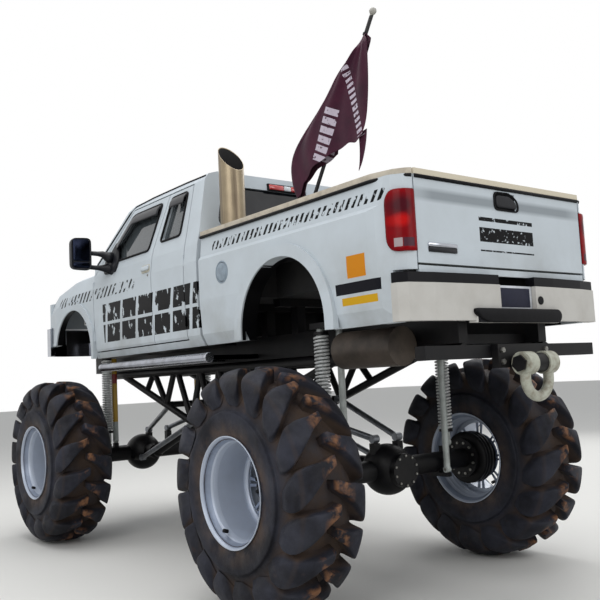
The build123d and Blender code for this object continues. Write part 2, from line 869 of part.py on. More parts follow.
def nose_group():
    """Hood, both front fenders, the fascia with its grille, and the headlamps."""
    shell = nose_form(0) - nose_form(panel_wall)
    hood = shell & block(hood_back, hood_front, -hood_half, hood_half, 2250, 2800)
    hinge_x = (cab_front + hood_back) / 2
    for side in (1, -1):
        low, high = side * hood_hinge_side - hinge_length / 2, side * hood_hinge_side + hinge_length / 2
        hood += rod((hinge_x, low, hood_hinge_height), (hinge_x, high, hood_hinge_height), hinge_radius)
        hood += block(hinge_x, hood_back + 5, low, high, hood_hinge_height - hinge_radius, hood_hinge_height)
    side = shell & block(nose_back, nose_front, hood_half + panel_gap, past_side, rocker_height - 10, 2800)
    side -= block(nose_back - 10, cab_front + 8, 0, bed_side - panel_wall, 2400, 2800)
    lip = flare(front_arch_x, front_arch_height, bed_side - 12)
    side += lip & block(nose_back, nose_front, 0, past_side, rocker_height, cab_roof)
    side -= arch(front_arch_x, front_arch_height, arch_radius, 0, past_side)
    side -= block(front_arch_x, nose_front + 10, 0, past_side, rocker_height - 10, front_bumper_bottom + 100)
    side -= block(front_bumper_side - panel_gap, nose_front + 10, 0, past_side, rocker_height,
                  front_bumper_top + panel_gap)
    pieces = {"hood": hood, "fenders": apart(both(side))}
    back = nose_front + seat_gap
    front = back + fascia_depth
    edge = [(back, -fascia_half), (front - 25, -fascia_half), (front, -grille_half - 60),
            (front, grille_half + 60), (front - 25, fascia_half), (back, fascia_half)]
    panel = rise(outline(edge), fascia_bottom, fascia_top)
    brow = full([(fascia_half, 2130), (fascia_half, 2425), (grille_half + 60, fascia_top + 1)])
    panel &= along(outline(brow), back - 10, front + 10)
    inner, outer, low, high = headlamp_inner, headlamp_outer, headlamp_bottom, headlamp_top
    lamp = panel & block(back + 10, front + 10, inner + seat_gap, outer - seat_gap, low + seat_gap,
                         high - seat_gap)
    panel -= block(back - 10, front + 10, -grille_half, grille_half, low, high + 40)
    for cut in both(block(back - 10, front + 10, inner, outer, low, high)):
        panel -= cut
    for z in (2255, 2320, 2385):
        panel += block(back + 5, front - 6, -grille_half - 1, grille_half + 1, z - 12, z + 12)
    for back_plate in both(block(back, back + 10 - seat_gap, inner - 2, outer + 2, low - 2, high + 2)):
        panel += back_plate
    pieces["grille"] = panel
    pieces["headlamps"] = apart(both(lamp))
    return pieces


# Bed

def bed_form():
    """Outside of the bed: its cross section, cut to its plan."""
    half = [(905, rocker_height), (945, 1850), (bed_side, 2110), (bed_side, 2425), (942, 2450),
            (925, bed_wall_top)]
    body = along(outline(full(half)), bed_back, bed_front)
    plan = [(bed_front, 990), (-700, 990), (-940, 952), (-1050, 915), (-1105, 870), (bed_back, 822)]
    return body & rise(outline(whole_plan(plan)), rocker_height - 10, bed_wall_top + 10)


def lamp_form(margin):
    """Room of a left tail lamp in the corner of the bed, or the lamp drawn in by a margin."""
    behind = bed_back - 200
    corners = [(behind, lamp_bottom), (lamp_front, lamp_bottom), (lamp_front, lamp_top), (behind, lamp_top)]
    edge = outline(corners, lamp_corner)
    if margin:
        edge = offset(edge, -margin)
    room = across(edge, gate_half + panel_gap - 1, past_side)
    return room - block(bed_back + lamp_depth - margin, 0, 0, lamp_inner + margin, lamp_bottom - 10,
                        lamp_top + 10)


def bed_sills():
    """Cross bars under the bed floor, on risers that stand on the frame rails."""
    pieces = []
    top = bed_floor_under - seat_gap
    middle, half = rail_offset + rail_width / 2, sill_width / 2
    for x in (-900, -480, 560, 960):
        pieces.append(block(x - half, x + half, -sill_half, sill_half, top - sill_height, top))
        pieces += both(block(x - half, x + half, middle - half, middle + half, rail_top + seat_gap,
                             top - sill_height - seat_gap))
    return apart(pieces)


def wheel_tub():
    """Left wheel tub, open outward and below."""
    outer = bed_wall_inner - seat_gap
    hollow = block(-tub_half + tub_wall, tub_half - tub_wall, tub_inner + tub_wall, outer + 1,
                   bed_floor_under - 1, tub_top - tub_wall)
    return block(-tub_half, tub_half, tub_inner, outer, bed_floor_under, tub_top) - hollow


def bed_box(floor_back):
    """Load floor notched for the tubs, with a sunk corner for the stack, and the front wall."""
    inner = bed_wall_inner - seat_gap
    box = block(floor_back, bed_front, -inner, inner, bed_floor_under, bed_floor_top)
    notch = block(-tub_half - seat_gap, tub_half + seat_gap, tub_inner - seat_gap, inner + 1,
                  bed_floor_under - 1, bed_floor_top + 1)
    for cut in both(notch):
        box -= cut
    box -= block(stack_x - stack_radius - 20, bed_front + 1, stack_y - stack_radius - 20, inner + 1,
                 bed_floor_top - stack_well, bed_floor_top + 1)
    return box + block(bed_front - front_wall, bed_front, -inner, inner, bed_floor_under, bed_wall_top)


def bed_group():
    """Bed box, wheel tubs, sills, outer sides, rail caps, tail lamps and tailgate."""
    form = bed_form()
    pieces = {}
    side = form & block(bed_back, bed_front, bed_wall_inner, past_side, rocker_height, bed_wall_top)
    floor_back = bed_back + gate_thickness + floor_gap
    corner_side = gate_half + panel_gap
    corner = block(bed_back, floor_back - seat_gap, corner_side, bed_wall_inner + 1, corner_bottom,
                   bed_wall_top)
    side += form & corner
    side += flare(0, rear_arch_height, bed_side - 12)
    side -= arch(0, rear_arch_height, arch_radius, 0, past_side)
    side -= block(bed_back - 10, bumper_side_x + panel_gap, 0, past_side, 1700, corner_bottom)
    lamp = side & lamp_form(seat_gap)
    side -= lamp_form(0)
    pieces["bed_sides"] = apart(both(side))
    pieces["tail_lamps"] = apart(both(lamp))
    cap_low = bed_wall_top + seat_gap
    plan = [(bed_front, 828), (bed_front, 935), (-900, 930), (-1050, 890), (-1110, 845),
            (bed_back, corner_side), (bed_back + 60, corner_side), (bed_back + 60, 828)]
    pieces["rail_caps"] = apart(both(rise(outline(plan), cap_low, cap_low + cap_thickness)))
    pieces["bed_box"] = bed_box(floor_back)
    pieces["wheel_tubs"] = apart(both(wheel_tub()))
    pieces["bed_sills"] = bed_sills()
    gate = block(bed_back, bed_back + gate_thickness, -gate_half, gate_half, gate_bottom, bed_wall_top)
    gate += block(bed_back - 6, bed_back + gate_thickness + 6, -gate_half, gate_half, bed_wall_top,
                  bed_wall_top + cap_thickness)
    gate -= block(bed_back - 10, bed_back + 18, -110, 90, 2470, 2579)
    for side in (1, -1):
        start = (bed_back + trunnion_inset, side * (gate_half - 1), gate_bottom + trunnion_inset)
        gate += rod(start, (start[0], side * (gate_half + panel_gap - seat_gap), start[2]), trunnion_radius)
    pieces["tailgate"] = gate
    return pieces


# Bumpers

def rear_bumper():
    """Painted rear bumper with its step pads, plate recess and lower step."""
    wide = bumper_half
    plan = [(bumper_side_x, wide), (-1090, wide - 5), (-1135, wide - 50), (-1165, 720), (-1187, 380),
            (bumper_back, plate_half)]
    band = rise(outline(whole_plan(plan)), bumper_bottom, bumper_top)
    inner = [(x + bumper_thickness, y - bumper_thickness if y > 800 else y) for x, y in plan]
    inner[0] = (bumper_side_x + 10, wide - bumper_thickness)
    band -= rise(outline(whole_plan(inner)), bumper_bottom - 10, bumper_top + 10)
    band -= block(bumper_back - 10, plate_face, -plate_half, plate_half, step_top, bumper_top + 10)
    pad_plan = [(bumper_side_x, wide - 7), (-1087, wide - 12), (-1129, wide - 56), (-1158, 720), (-1180, 380),
                (bumper_back + 7, plate_half), (-1120, plate_half), (-1090, 820), (bumper_side_x, 820)]
    pad = rise(outline(pad_plan), bumper_top, bumper_top + pad_height)
    for piece in both(pad):
        band += piece
    step = [(plate_face, step_half), (bumper_back - 12, step_half - 40)]
    band += rise(outline(whole_plan(step)), bumper_bottom - 13, step_top)
    for side in (1, -1):
        middle = side * (rail_offset + rail_width / 2)
        band += block(plate_face, bed_back + 70 - seat_gap, middle - 20, middle + 20, bumper_bottom + 5,
                      bumper_bottom + 45)
    return band


def front_bumper():
    """Front bumper with its brackets on the frame rails."""
    plan = [(front_bumper_side, 950), (4400, 945), (4500, 760), (front_bumper_x, 300)]
    band = rise(outline(whole_plan(plan)), front_bumper_bottom, front_bumper_top)
    inner = [(x - 50, y - (50 if y > 700 else 0)) for x, y in plan]
    inner[0] = (4280, 900)
    band -= rise(outline(whole_plan(inner)), front_bumper_bottom - 1, front_bumper_top + 1)
    for piece in both(block(4180, 4480, rail_offset + 10, rail_offset + 60, rail_top + seat_gap, 2000)):
        band += piece
    return band


# Fittings

def stack():
    """Exhaust stack in the corner of the bed, cut at a slant that faces back."""
    base = bed_floor_top - stack_well + seat_gap
    pipe = rod((stack_x, stack_y, base), (stack_x, stack_y, stack_high), stack_radius)
    pipe -= rod((stack_x, stack_y, base + 60), (stack_x, stack_y, stack_high + 10), stack_radius - stack_wall)
    reach = stack_radius + 10
    rate = (stack_high - stack_low) / (2 * stack_radius)
    low, high = stack_low - 10 * rate, stack_high + 10 * rate
    slant = [(stack_x - reach, low), (stack_x + reach, high), (stack_x - reach, high + 10)]
    return pipe - across(outline(slant), stack_y - 200, stack_y + 200)


def flag_pole():
    """Leaning pole on a socket on the wheel tub, with a ball on top."""
    base = tub_top + seat_gap
    socket = Pos(pole_x, pole_y, base + 30) * Cylinder(36, 60)
    pole = rod((pole_x, pole_y, base + 20), (pole_top_x, pole_y, pole_top), pole_radius)
    return socket + pole + Pos(pole_top_x, pole_y, pole_top) * Sphere(ball_radius)


def flag():
    """Drooping flag that hangs from the pole's tip, as a plain slab of its outline."""
    edge = [(pole_top_x + 5, pole_top - 125), (-634, 3509), (-362, 3311), (14, 3051), (66, 2900), (4, 2699),
            (-51, 2707), (-150, 2850), (-365, 2920), (-638, 2938), (-727, 2958), (-800, 3200), (-816, 3443)]
    near = pole_y + pole_radius + seat_gap
    return across(outline(edge), near, near + flag_thickness)


def step_bars():
    """Side step tubes with their brackets to the frame rails."""
    pieces = []
    y, z = step_offset, step_height
    pieces += both(rod((step_back, y, z), (step_front, y, z), step_radius))
    inner, outer = rail_offset + rail_width + seat_gap, y - step_radius - seat_gap
    for x in (1111, 1616, 2561):
        pieces += both(block(x - 45, x + 45, inner, outer, z - 12, z + 24))
    return apart(pieces)


def tank():
    """Round tank along the frame under the bed, on two saddles."""
    start = (tank_x, tank_y, tank_height)
    shell = rod(start, (tank_x + tank_length, tank_y, tank_height), tank_radius)
    inner = rail_offset + rail_width + seat_gap
    for x in (tank_x + 120, tank_x + tank_length - 120):
        shell += block(x - 25, x + 25, inner, tank_y, rail_bottom, rail_bottom + 50)
    return shell


def mirror_piece():
    """Left tow mirror: head, two arms and the base on the door."""
    x, y, z = mirror_x, mirror_y, mirror_height
    head = block(x - 45, x + 45, y - 100, y + 100, z - 150, z + 150)
    head = fillet(head.edges().filter_by(Axis.X), 35)
    base = block(x - 30, x + 80, hinge_offset - 160, hinge_offset + 30, z - 182, z - 72)
    base -= cab_form(-seat_gap)
    # Depth of each arm's foot and of its end below the head's middle
    for foot, drop in ((152, 92), (102, 42)):
        base += rod((x + 20, hinge_offset + 20, z - foot), (x + 10, y - 90, z - drop), 18)
    return head + base


def build_nodes():
    """Every piece of the truck by name."""
    nodes = {"frame": frame(), "truss": truss(), "rear_axle": rear_axle(), "front_axle": front_axle(),
             "springs": springs(), "dampers": dampers(), "links": links(), "driveline": driveline(),
             "engine": engine(), "tank": tank(), "tow_hitch": tow_hitch(), "shackle": shackle(),
             "rear_bumper": rear_bumper(), "front_bumper": front_bumper(), "seats": seats(),
             "dashboard": dashboard(), "stack": stack(), "flag_pole": flag_pole(), "flag": flag(),
             "step_bars": step_bars(), "tie_rod": tie_rod()}
    nodes.update(cab_group())
    nodes.update(nose_group())
    nodes.update(bed_group())
    tyre_body, wheel_body = tyre(), wheel()
    for end, x in (("front", front_axle_x), ("rear", rear_axle_x)):
        for name, side in (("left", 1), ("right", -1)):
            nodes[f"tyre_{end}_{name}"] = place_wheel(tyre_body, x, side)
            nodes[f"wheel_{end}_{name}"] = place_wheel(wheel_body, x, side)
    for name, side, solid in zip(("left", "right"), (1, -1), both(mirror_piece())):
        nodes[f"knuckle_{name}"] = knuckle(side)
        nodes[f"mirror_{name}"] = solid
    return nodes


def main():
    """Write each piece, moved so that the truck's length is centred."""
    os.makedirs("parts", exist_ok=True)
    for name, solid in build_nodes().items():
        placed = [Pos(-length_centre, 0, 0) * piece for piece in solid.solids()]
        export_step(Compound(placed), f"parts/{name}.step")


main()
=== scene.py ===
import json
import math
import bmesh
import bpy
from mathutils import Matrix, Quaternion, Vector, noise


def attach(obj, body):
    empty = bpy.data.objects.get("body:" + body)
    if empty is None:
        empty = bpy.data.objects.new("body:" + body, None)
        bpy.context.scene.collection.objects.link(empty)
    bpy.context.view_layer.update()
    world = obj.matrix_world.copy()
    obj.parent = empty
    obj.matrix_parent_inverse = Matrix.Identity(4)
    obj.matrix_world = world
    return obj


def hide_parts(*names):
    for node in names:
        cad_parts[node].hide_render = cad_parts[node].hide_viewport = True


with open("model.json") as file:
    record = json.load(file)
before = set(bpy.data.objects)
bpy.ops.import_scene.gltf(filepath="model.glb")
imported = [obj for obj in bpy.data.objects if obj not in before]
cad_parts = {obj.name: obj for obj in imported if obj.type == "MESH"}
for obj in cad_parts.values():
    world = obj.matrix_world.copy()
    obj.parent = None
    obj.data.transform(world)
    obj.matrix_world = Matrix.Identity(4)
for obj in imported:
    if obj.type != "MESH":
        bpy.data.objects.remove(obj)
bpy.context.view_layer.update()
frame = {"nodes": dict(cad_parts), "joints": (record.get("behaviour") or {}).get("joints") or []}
joints = {joint["name"]: Vector(joint["pos_m"]) for joint in frame["joints"]}
rearHub = joints["spin_rear_left"]
frontHub = joints["spin_front_left"]
stationShift = 0.084 - rearHub.x  # the rear axle stands 84 mm ahead of the rear arch's centre
sides = {"left": 1, "right": -1}


def at(x, y, z):  # metres ahead of the rear arch, to the left and above the ground
    return Vector((x - stationShift, y, z))


# Shapes are pairs of lists: points and faces

def joined(shapes):
    points, faces = [], []
    for shapePoints, shapeFaces in shapes:
        start = len(points)
        points += shapePoints
        faces += [[start + corner for corner in face] for face in shapeFaces]
    return points, faces


def moved(shape, matrix):
    points, faces = shape
    if matrix.determinant() < 0:
        faces = [list(reversed(face)) for face in faces]
    return [matrix @ Vector(point) for point in points], faces


def mirrored(shape):
    return moved(shape, Matrix.Scale(-1, 4, (0, 1, 0)))


def bothSides(shape):
    return joined([shape, mirrored(shape)])


def onSide(shape, side):  # left as it is, mirrored for the right
    return shape if side > 0 else mirrored(shape)


def turns(count, first=0.0):  # a full turn in equal steps
    return [2 * math.pi * (step + first) / count for step in range(count)]


def grid(rows, closedRows=False, closedLines=False):  # faces between rows of points
    count, width = len(rows), len(rows[0])
    faces = []
    for row in range(count if closedRows else count - 1):
        for column in range(width if closedLines else width - 1):
            nextRow, nextColumn = (row + 1) % count, (column + 1) % width
            faces.append([row * width + column, row * width + nextColumn,
                          nextRow * width + nextColumn, nextRow * width + column])
    return [point for row in rows for point in row], faces


def turned(profile, steps, closed=False):  # profile of (radius, offset) turned about a sideways axis
    rows = [[Vector((r * math.sin(angle), y, r * math.cos(angle))) for r, y in profile]
            for angle in turns(steps)]
    return grid(rows, closedRows=True, closedLines=closed)


def tube(path, radius, around=10, closed=False, flatten=1.0):  # one radius, or one for each point
    path = [Vector(point) for point in path]
    count = len(path)
    radii = radius if isinstance(radius, (list, tuple)) else [radius] * count
    rows, normal = [], None
    for index, point in enumerate(path):
        before = path[index - 1] if index or closed else point
        after = path[(index + 1) % count] if index < count - 1 or closed else point
        run = (after - before).normalized()
        if normal is None:
            normal = run.orthogonal().normalized()
        normal = (normal - run * normal.dot(run)).normalized()
        other = run.cross(normal)
        ring = []
        for angle in turns(around):
            ring.append(point + radii[index] * (math.cos(angle) * normal + flatten * math.sin(angle) * other))
        rows.append(ring)
    return grid(rows, closedRows=True, closedLines=True) if closed else stacked(rows)


def stacked(rings):  # closed rings joined into a skin with both ends capped
    points, faces = grid(rings, closedLines=True)
    width = len(rings[0])
    faces.append(list(reversed(range(width))))
    faces.append([(len(rings) - 1) * width + step for step in range(width)])
    return points, faces


def slab(low, high):  # a box between two corners
    (x0, y0, z0), (x1, y1, z1) = low, high
    points = [Vector((x, y, z)) for x in (x0, x1) for y in (y0, y1) for z in (z0, z1)]
    return points, [[0, 1, 3, 2], [4, 6, 7, 5], [0, 4, 5, 1], [2, 3, 7, 6], [0, 2, 6, 4], [1, 5, 7, 3]]


def rounded(corners, radius, steps=5):  # outline with its corners turned into curves
    outline = []
    count = len(corners)
    for index, corner in enumerate(corners):
        here = Vector(corner)
        before, after = Vector(corners[index - 1]) - here, Vector(corners[(index + 1) % count]) - here
        reach = min(radius, before.length * 0.48, after.length * 0.48)
        start, end = here + before.normalized() * reach, here + after.normalized() * reach
        for step in range(steps + 1):
            part = step / steps
            outline.append(tuple((1 - part) ** 2 * start + 2 * part * (1 - part) * here + part ** 2 * end))
    return outline


def shrunk(outline, share):
    centre = [sum(point[axis] for point in outline) / len(outline) for axis in (0, 1)]
    return [(centre[0] + (a - centre[0]) * share, centre[1] + (b - centre[1]) * share) for a, b in outline]


def panel(first, last, low, high, corner, steps):  # an upright rectangle with its corners rounded
    return rounded([(first, low), (last, low), (last, high), (first, high)], corner, steps)


def plate(outline, place, layers):  # outline laid at depths; layers of (depth, share of its size)
    return stacked([[place(a, b, depth) for a, b in shrunk(outline, share)] for depth, share in layers])


def bolts(places, direction, radius, height):  # hexagon heads that stand on a face
    way = Vector(direction).normalized() * height
    return joined([tube([place, Vector(place) + way], radius, around=6) for place in places])


def alongLine(line, part):  # a point at a share of a line's length
    spans = [math.dist(first, second) for first, second in zip(line, line[1:])]
    reach = part * sum(spans)
    for (first, second), span in zip(zip(line, line[1:]), spans):
        if reach <= span:
            return [a + (b - a) * reach / span for a, b in zip(first, second)]
        reach -= span
    return list(line[-1])


def eased(part):  # a share that starts and ends slowly
    part = max(0.0, min(1.0, part))
    return part * part * (3 - 2 * part)


def between(table, value, ease=float):  # a value read off a short table of steps
    for (first, low), (last, high) in zip(table, table[1:]):
        if value <= last:
            return low + (high - low) * ease((value - first) / (last - first))
    return table[-1][1]


def addPiece(name, shape, finish, body, replaced=(), bevel=0.0, smoothing=0, thickness=0.0,
             flat=False):
    points, faces = shape
    mesh = bpy.data.meshes.new(name)
    mesh.from_pydata(points, [], faces)
    shell = bmesh.new()
    shell.from_mesh(mesh)
    bmesh.ops.recalc_face_normals(shell, faces=shell.faces)
    shell.to_mesh(mesh)
    shell.free()
    mesh.materials.append(finishes[finish])
    for polygon in mesh.polygons:
        polygon.use_smooth = not flat
    piece = bpy.data.objects.new(name, mesh)
    bpy.context.scene.collection.objects.link(piece)
    if thickness:
        layer = piece.modifiers.new("thickness", "SOLIDIFY")
        layer.thickness = thickness
    if bevel:
        edge = piece.modifiers.new("edges", "BEVEL")
        edge.width = bevel
        edge.segments = 2
        edge.limit_method = "ANGLE"
        edge.harden_normals = True
    if smoothing:
        finer = piece.modifiers.new("smoothing", "SUBSURF")
        finer.levels = finer.render_levels = smoothing
    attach(piece, body)
    if replaced:
        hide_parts(*replaced)
    return piece


# Materials

def colour(text):  # sRGB hex to linear
    parts = [int(text[start:start + 2], 16) / 255 for start in (1, 3, 5)]
    return [part / 12.92 if part <= 0.04045 else ((part + 0.055) / 1.055) ** 2.4 for part in parts] + [1.0]


def addNode(tree, kind, settings, output=0):  # a setting that is another node's output is linked
    made = tree.nodes.new("ShaderNode" + kind)
    for key, value in settings.items():
        if not (isinstance(key, int) or key in made.inputs):
            setattr(made, key, value)
        elif isinstance(value, bpy.types.NodeSocket):
            tree.links.new(value, made.inputs[key])
        else:
            made.inputs[key].default_value = colour(value) if str(value).startswith("#") else value
    return made.outputs[output] if made.outputs else made


def makeMaterial(name, recipe):  # recipe gives the shader's settings from the place on the object
    material = bpy.data.materials.new(name)
    material.use_nodes = True
    tree = material.node_tree
    tree.nodes.clear()
    shader = addNode(tree, "BsdfPrincipled", recipe(tree, addNode(tree, "TexCoord", {}, "Object")))
    addNode(tree, "OutputMaterial", {"Surface": shader})
    return material


def patches(tree, place, millimetres, low, high, stretch=(1, 1, 1), detail=5.0):  # blotches of a real size
    spread = addNode(tree, "Mapping", {"Vector": place, "Scale": stretch})
    cloud = addNode(tree, "TexNoise", {"Vector": spread, "Scale": 1000 / millimetres, "Detail": detail,
                                       "Roughness": 0.6})
    return addNode(tree, "MapRange", {"Value": cloud, "From Min": low, "From Max": high})


def region(tree, place, **spans):  # 1 inside the spans of x, y, z or side, which is y on either side
    whole = None
    for axis, (low, high) in spans.items():
        value = addNode(tree, "SeparateXYZ", {"Vector": place}, {"x": 0, "side": 1, "y": 1, "z": 2}[axis])
        if axis == "side":
            value = addNode(tree, "Math", {"operation": "ABSOLUTE", 0: value})
        inside = addNode(tree, "Math", {"operation": "COMPARE", 0: value, 1: (low + high) / 2,
                                        2: (high - low) / 2})
        both = {"operation": "MULTIPLY", 0: whole, 1: inside}
        whole = inside if whole is None else addNode(tree, "Math", both)
    return whole


def laidOver(tree, under, over, masks, strength=1.0):  # a second colour where every mask lets it through
    share = strength
    for mask in masks:
        share = addNode(tree, "Math", {"operation": "MULTIPLY", 0: share, 1: mask})
    return addNode(tree, "Mix", {"data_type": "RGBA", 0: share, 6: under, 7: over}, 2)


def grain(tree, place, millimetres, depth, strength=0.6):  # bumps of a real size and depth
    bumps = patches(tree, place, millimetres, 0.3, 0.7)
    return addNode(tree, "Bump", {"Height": bumps, "Distance": depth, "Strength": strength})


def along(first, last):  # a span of stations in the frame's metres
    return min(first, last) - stationShift, max(first, last) - stationShift


def runFrom(tree, place, stations, height, upward=False):  # distance from the nearer of two sideways lines
    x = addNode(tree, "SeparateXYZ", {"Vector": place}, 0)
    gaps = []
    for station in stations:
        gap = addNode(tree, "Math", {"operation": "SUBTRACT", 0: x, 1: station})
        gaps.append(addNode(tree, "Math", {"operation": "ABSOLUTE", 0: gap}))
    ahead = addNode(tree, "Math", {"operation": "MINIMUM", 0: gaps[0], 1: gaps[1]})
    z = addNode(tree, "SeparateXYZ", {"Vector": place}, 2)
    above = addNode(tree, "Math", {"operation": "SUBTRACT", 0: z, 1: height})
    if upward:  # what lies below the line counts as level with it
        above = addNode(tree, "Math", {"operation": "MAXIMUM", 0: above, 1: 0.0})
    run = addNode(tree, "CombineXYZ", {"X": ahead, "Z": above})
    return addNode(tree, "VectorMath", {"operation": "LENGTH", 0: run}, "Value")


def striped(tree, count, share):  # 1 over the first share of each whole step of a count
    step = addNode(tree, "Math", {"operation": "FRACT", 0: count})
    return addNode(tree, "Math", {"operation": "LESS_THAN", 0: step, 1: share})


def slantedCount(tree, place, lean, pitch, start):  # counts steps along the truck, leaning with height
    x = addNode(tree, "SeparateXYZ", {"Vector": place}, 0)
    z = addNode(tree, "SeparateXYZ", {"Vector": place}, 2)
    slant = addNode(tree, "Math", {"operation": "MULTIPLY_ADD", 0: z, 1: lean, 2: x})
    return addNode(tree, "Math", {"operation": "MULTIPLY_ADD", 0: slant, 1: 1 / pitch, 2: start})


def strokes(tree, place, pitch, share, lean):  # short slanted strokes with gaps, in a line
    inked = striped(tree, slantedCount(tree, place, lean, pitch, 90.0), share)
    broken = patches(tree, place, pitch * 900, 0.44, 0.46)
    return addNode(tree, "Math", {"operation": "MULTIPLY", 0: inked, 1: broken})


def softSpan(tree, place, axis, span, fade):  # 1 between two places on an axis, fading beyond them
    value = addNode(tree, "SeparateXYZ", {"Vector": place}, axis)
    before = addNode(tree, "MapRange", {"Value": value, "From Min": span[0] - fade, "From Max": span[0]})
    beyond = addNode(tree, "MapRange", {"Value": value, "From Min": span[1] + fade, "From Max": span[1]})
    return addNode(tree, "Math", {"operation": "MULTIPLY", 0: before, 1: beyond})


# painted shade for the wheel arches and the backs of the panels, where shade falls
paintedArchShade = {"stations": (0.0, 3.593), "height": 1.817, "edge": 0.4745, "lip": 0.968, "tone": "#060608",
           "walls": ((0.893, -0.90, 4.0, 2.40), (0.935, 3.10, 3.98, 2.36),
                     (0.880, 3.98, 4.365, 2.43)), "low": 1.5}  # walls: side, back, front, top


def archShade(tree, place, finish):  # painted shade: black inside the wheel arches and on the backs of the panels
    stations = [station - stationShift for station in paintedArchShade["stations"]]
    reach = runFrom(tree, place, stations, paintedArchShade["height"], upward=True)
    inside = addNode(tree, "Math", {"operation": "LESS_THAN", 0: reach, 1: paintedArchShade["edge"]})
    finish = laidOver(tree, finish, paintedArchShade["tone"], [inside, region(tree, place, side=(0, paintedArchShade["lip"]))])
    for wall, back, front, top in paintedArchShade["walls"]:
        covered = region(tree, place, side=(0, wall), z=(paintedArchShade["low"], top), x=along(back, front))
        finish = laidOver(tree, finish, paintedArchShade["tone"], [covered])
    return finish


def enamel(marks=None):
    # Sprayed enamel dulled by the sun: a soft white with little shine, greyer in patches and darker towards
    # the sills
    def recipe(tree, place):
        film = patches(tree, place, 420, 0.40, 0.75)
        height = addNode(tree, "SeparateXYZ", {"Vector": place}, 2)
        low = addNode(tree, "MapRange", {"Value": height, "From Min": 2.35, "From Max": 1.75})
        finish = laidOver(tree, "#C1C9CF", "#AAB0B3", [film], 0.35)
        finish = laidOver(tree, finish, "#92928D", [low, film], 0.6)
        specks = patches(tree, place, 9, 0.68, 0.76)
        finish = laidOver(tree, finish, "#837E72", [low, specks], 0.6)
        if marks:
            finish = marks(tree, place, finish)
        finish = archShade(tree, place, finish)
        return {"Base Color": finish, "Roughness": 0.40, "Specular IOR Level": 0.08, "Coat Weight": 0.02,
                "Coat Roughness": 0.08, "Normal": grain(tree, place, 6, 0.0002, 0.4)}
    return recipe


ink = "#050507"
doorPanel = {"front": 2.87, "back": 0.815, "bottom": 1.905, "top": 2.295, "bar": 0.195, "gap": 0.14,
             "slash": 0.32, "slashGap": 0.14, "lean": 0.18, "lineFront": 3.98, "lineBack": 2.18,
             "line": (2.335, 2.435)}


def doorMarks(tree, place, finish):  # torn black bars and a slanted line along the doors
    size = doorPanel
    area = region(tree, place, x=along(size["front"], size["back"]), z=(size["bottom"], size["top"]),
                  side=(0.86, 1.1))
    z = addNode(tree, "SeparateXYZ", {"Vector": place}, 2)
    rise = addNode(tree, "Math", {"operation": "MULTIPLY_ADD", 0: z, 1: 1 / size["bar"],
                                  2: -size["bottom"] / size["bar"]})
    bars = striped(tree, rise, 1 - size["gap"])
    slant = slantedCount(tree, place, size["lean"], size["slash"], 30.0)
    slashes = striped(tree, slant, 1 - size["slashGap"])
    worn = patches(tree, place, 70, 0.40, 0.42, (1, 1, 0.55), 8.0)
    finish = laidOver(tree, finish, ink, [area, bars, slashes, worn])
    line = region(tree, place, x=along(size["lineFront"], size["lineBack"]), z=size["line"], side=(0.8, 1.1))
    return laidOver(tree, finish, ink, [line, strokes(tree, place, 0.085, 0.42, 0.9)])


bedPanel = {"front": 0.88, "back": -1.03, "line": (2.478, 2.545),
            "bands": ((2.055, 2.19, -0.685, -0.850, "#C77F1C"), (1.962, 2.030, -0.565, -0.960, "#101118"),
                      (1.895, 1.942, -0.615, -0.930, "#C79A1E"))}


def bedMarks(tree, place, finish):  # a broken line and a plain banded patch
    line = region(tree, place, x=along(bedPanel["front"], bedPanel["back"]), z=bedPanel["line"])
    finish = laidOver(tree, finish, ink, [line, strokes(tree, place, 0.058, 0.5, 0.55)])
    for low, high, first, last, tone in bedPanel["bands"]:
        band = region(tree, place, x=along(first, last), z=(low, high), side=(0.9, 1.1))
        finish = laidOver(tree, finish, tone, [band])
    return finish


gatePanel = {"left": 0.255, "right": -0.275, "bars": ((2.385, 2.41), (2.255, 2.345), (2.195, 2.205)),
             "crease": (2.095, 2.099), "shade": (2.485, 2.520), "shadeFade": 0.03, "shadeEnds": (-0.66, 0.66),
             "endFade": 0.25, "cap": (2.6145, 2.75)}


def gateMarks(tree, place, finish):  # worn bars, painted shade along the gate's crease and in a soft band, and its cap
    worn = patches(tree, place, 30, 0.38, 0.41, detail=7.0)
    for heights in gatePanel["bars"]:
        bar = region(tree, place, y=(gatePanel["right"], gatePanel["left"]), z=heights)
        finish = laidOver(tree, finish, ink, [bar, worn])
    # painted shade: a dark line along the crease
    finish = laidOver(tree, finish, "#6E726F", [region(tree, place, z=gatePanel["crease"])], 0.8)
    # painted shade: a soft grey band below the cap, fading at both ends
    shade = softSpan(tree, place, 2, gatePanel["shade"], gatePanel["shadeFade"])
    ends = softSpan(tree, place, 1, gatePanel["shadeEnds"], gatePanel["endFade"])
    finish = laidOver(tree, finish, "#7F868B", [shade, ends], 0.8)
    return laidOver(tree, finish, "#CFC6B2", [region(tree, place, z=gatePanel["cap"])])


def coated(base, grime, settings, size=60, amount=0.5, grit=4, depth=0.0003, marks=None):
    # One coat with grime in soft patches of that size in millimetres and a fine grain
    def recipe(tree, place):
        finish = laidOver(tree, base, grime, [patches(tree, place, size, 0.42, 0.70)], amount)
        if marks:
            finish = marks(tree, place, finish)
        return {"Base Color": finish, "Normal": grain(tree, place, grit, depth), **settings}
    return recipe


rimHighlightBands = ((0.3465, 0.0085), (0.311, 0.007), (0.285, 0.022))  # radius, half width


def rimHighlights(tree, place, finish):  # painted highlights: the lip, the barrel's step and the weld are lightened
    radius = runFrom(tree, place, (rearHub.x, frontHub.x), rearHub.z)
    for middle, half in rimHighlightBands:
        bright = addNode(tree, "Math", {"operation": "COMPARE", 0: radius, 1: middle, 2: half})
        finish = laidOver(tree, finish, "#C3CBD8", [bright], 0.6)
    return finish


clayPlaces = {  # measured how, clear here, covered here
    "valley": ("radius", 0.74, 0.71), "belowFaces": ("side", 0.245, 0.225),
    "crown": ("radius", 0.735, 0.765), "middle": ("side", 0.12, 0.05), "bead": ("radius", 0.47, 0.37)}


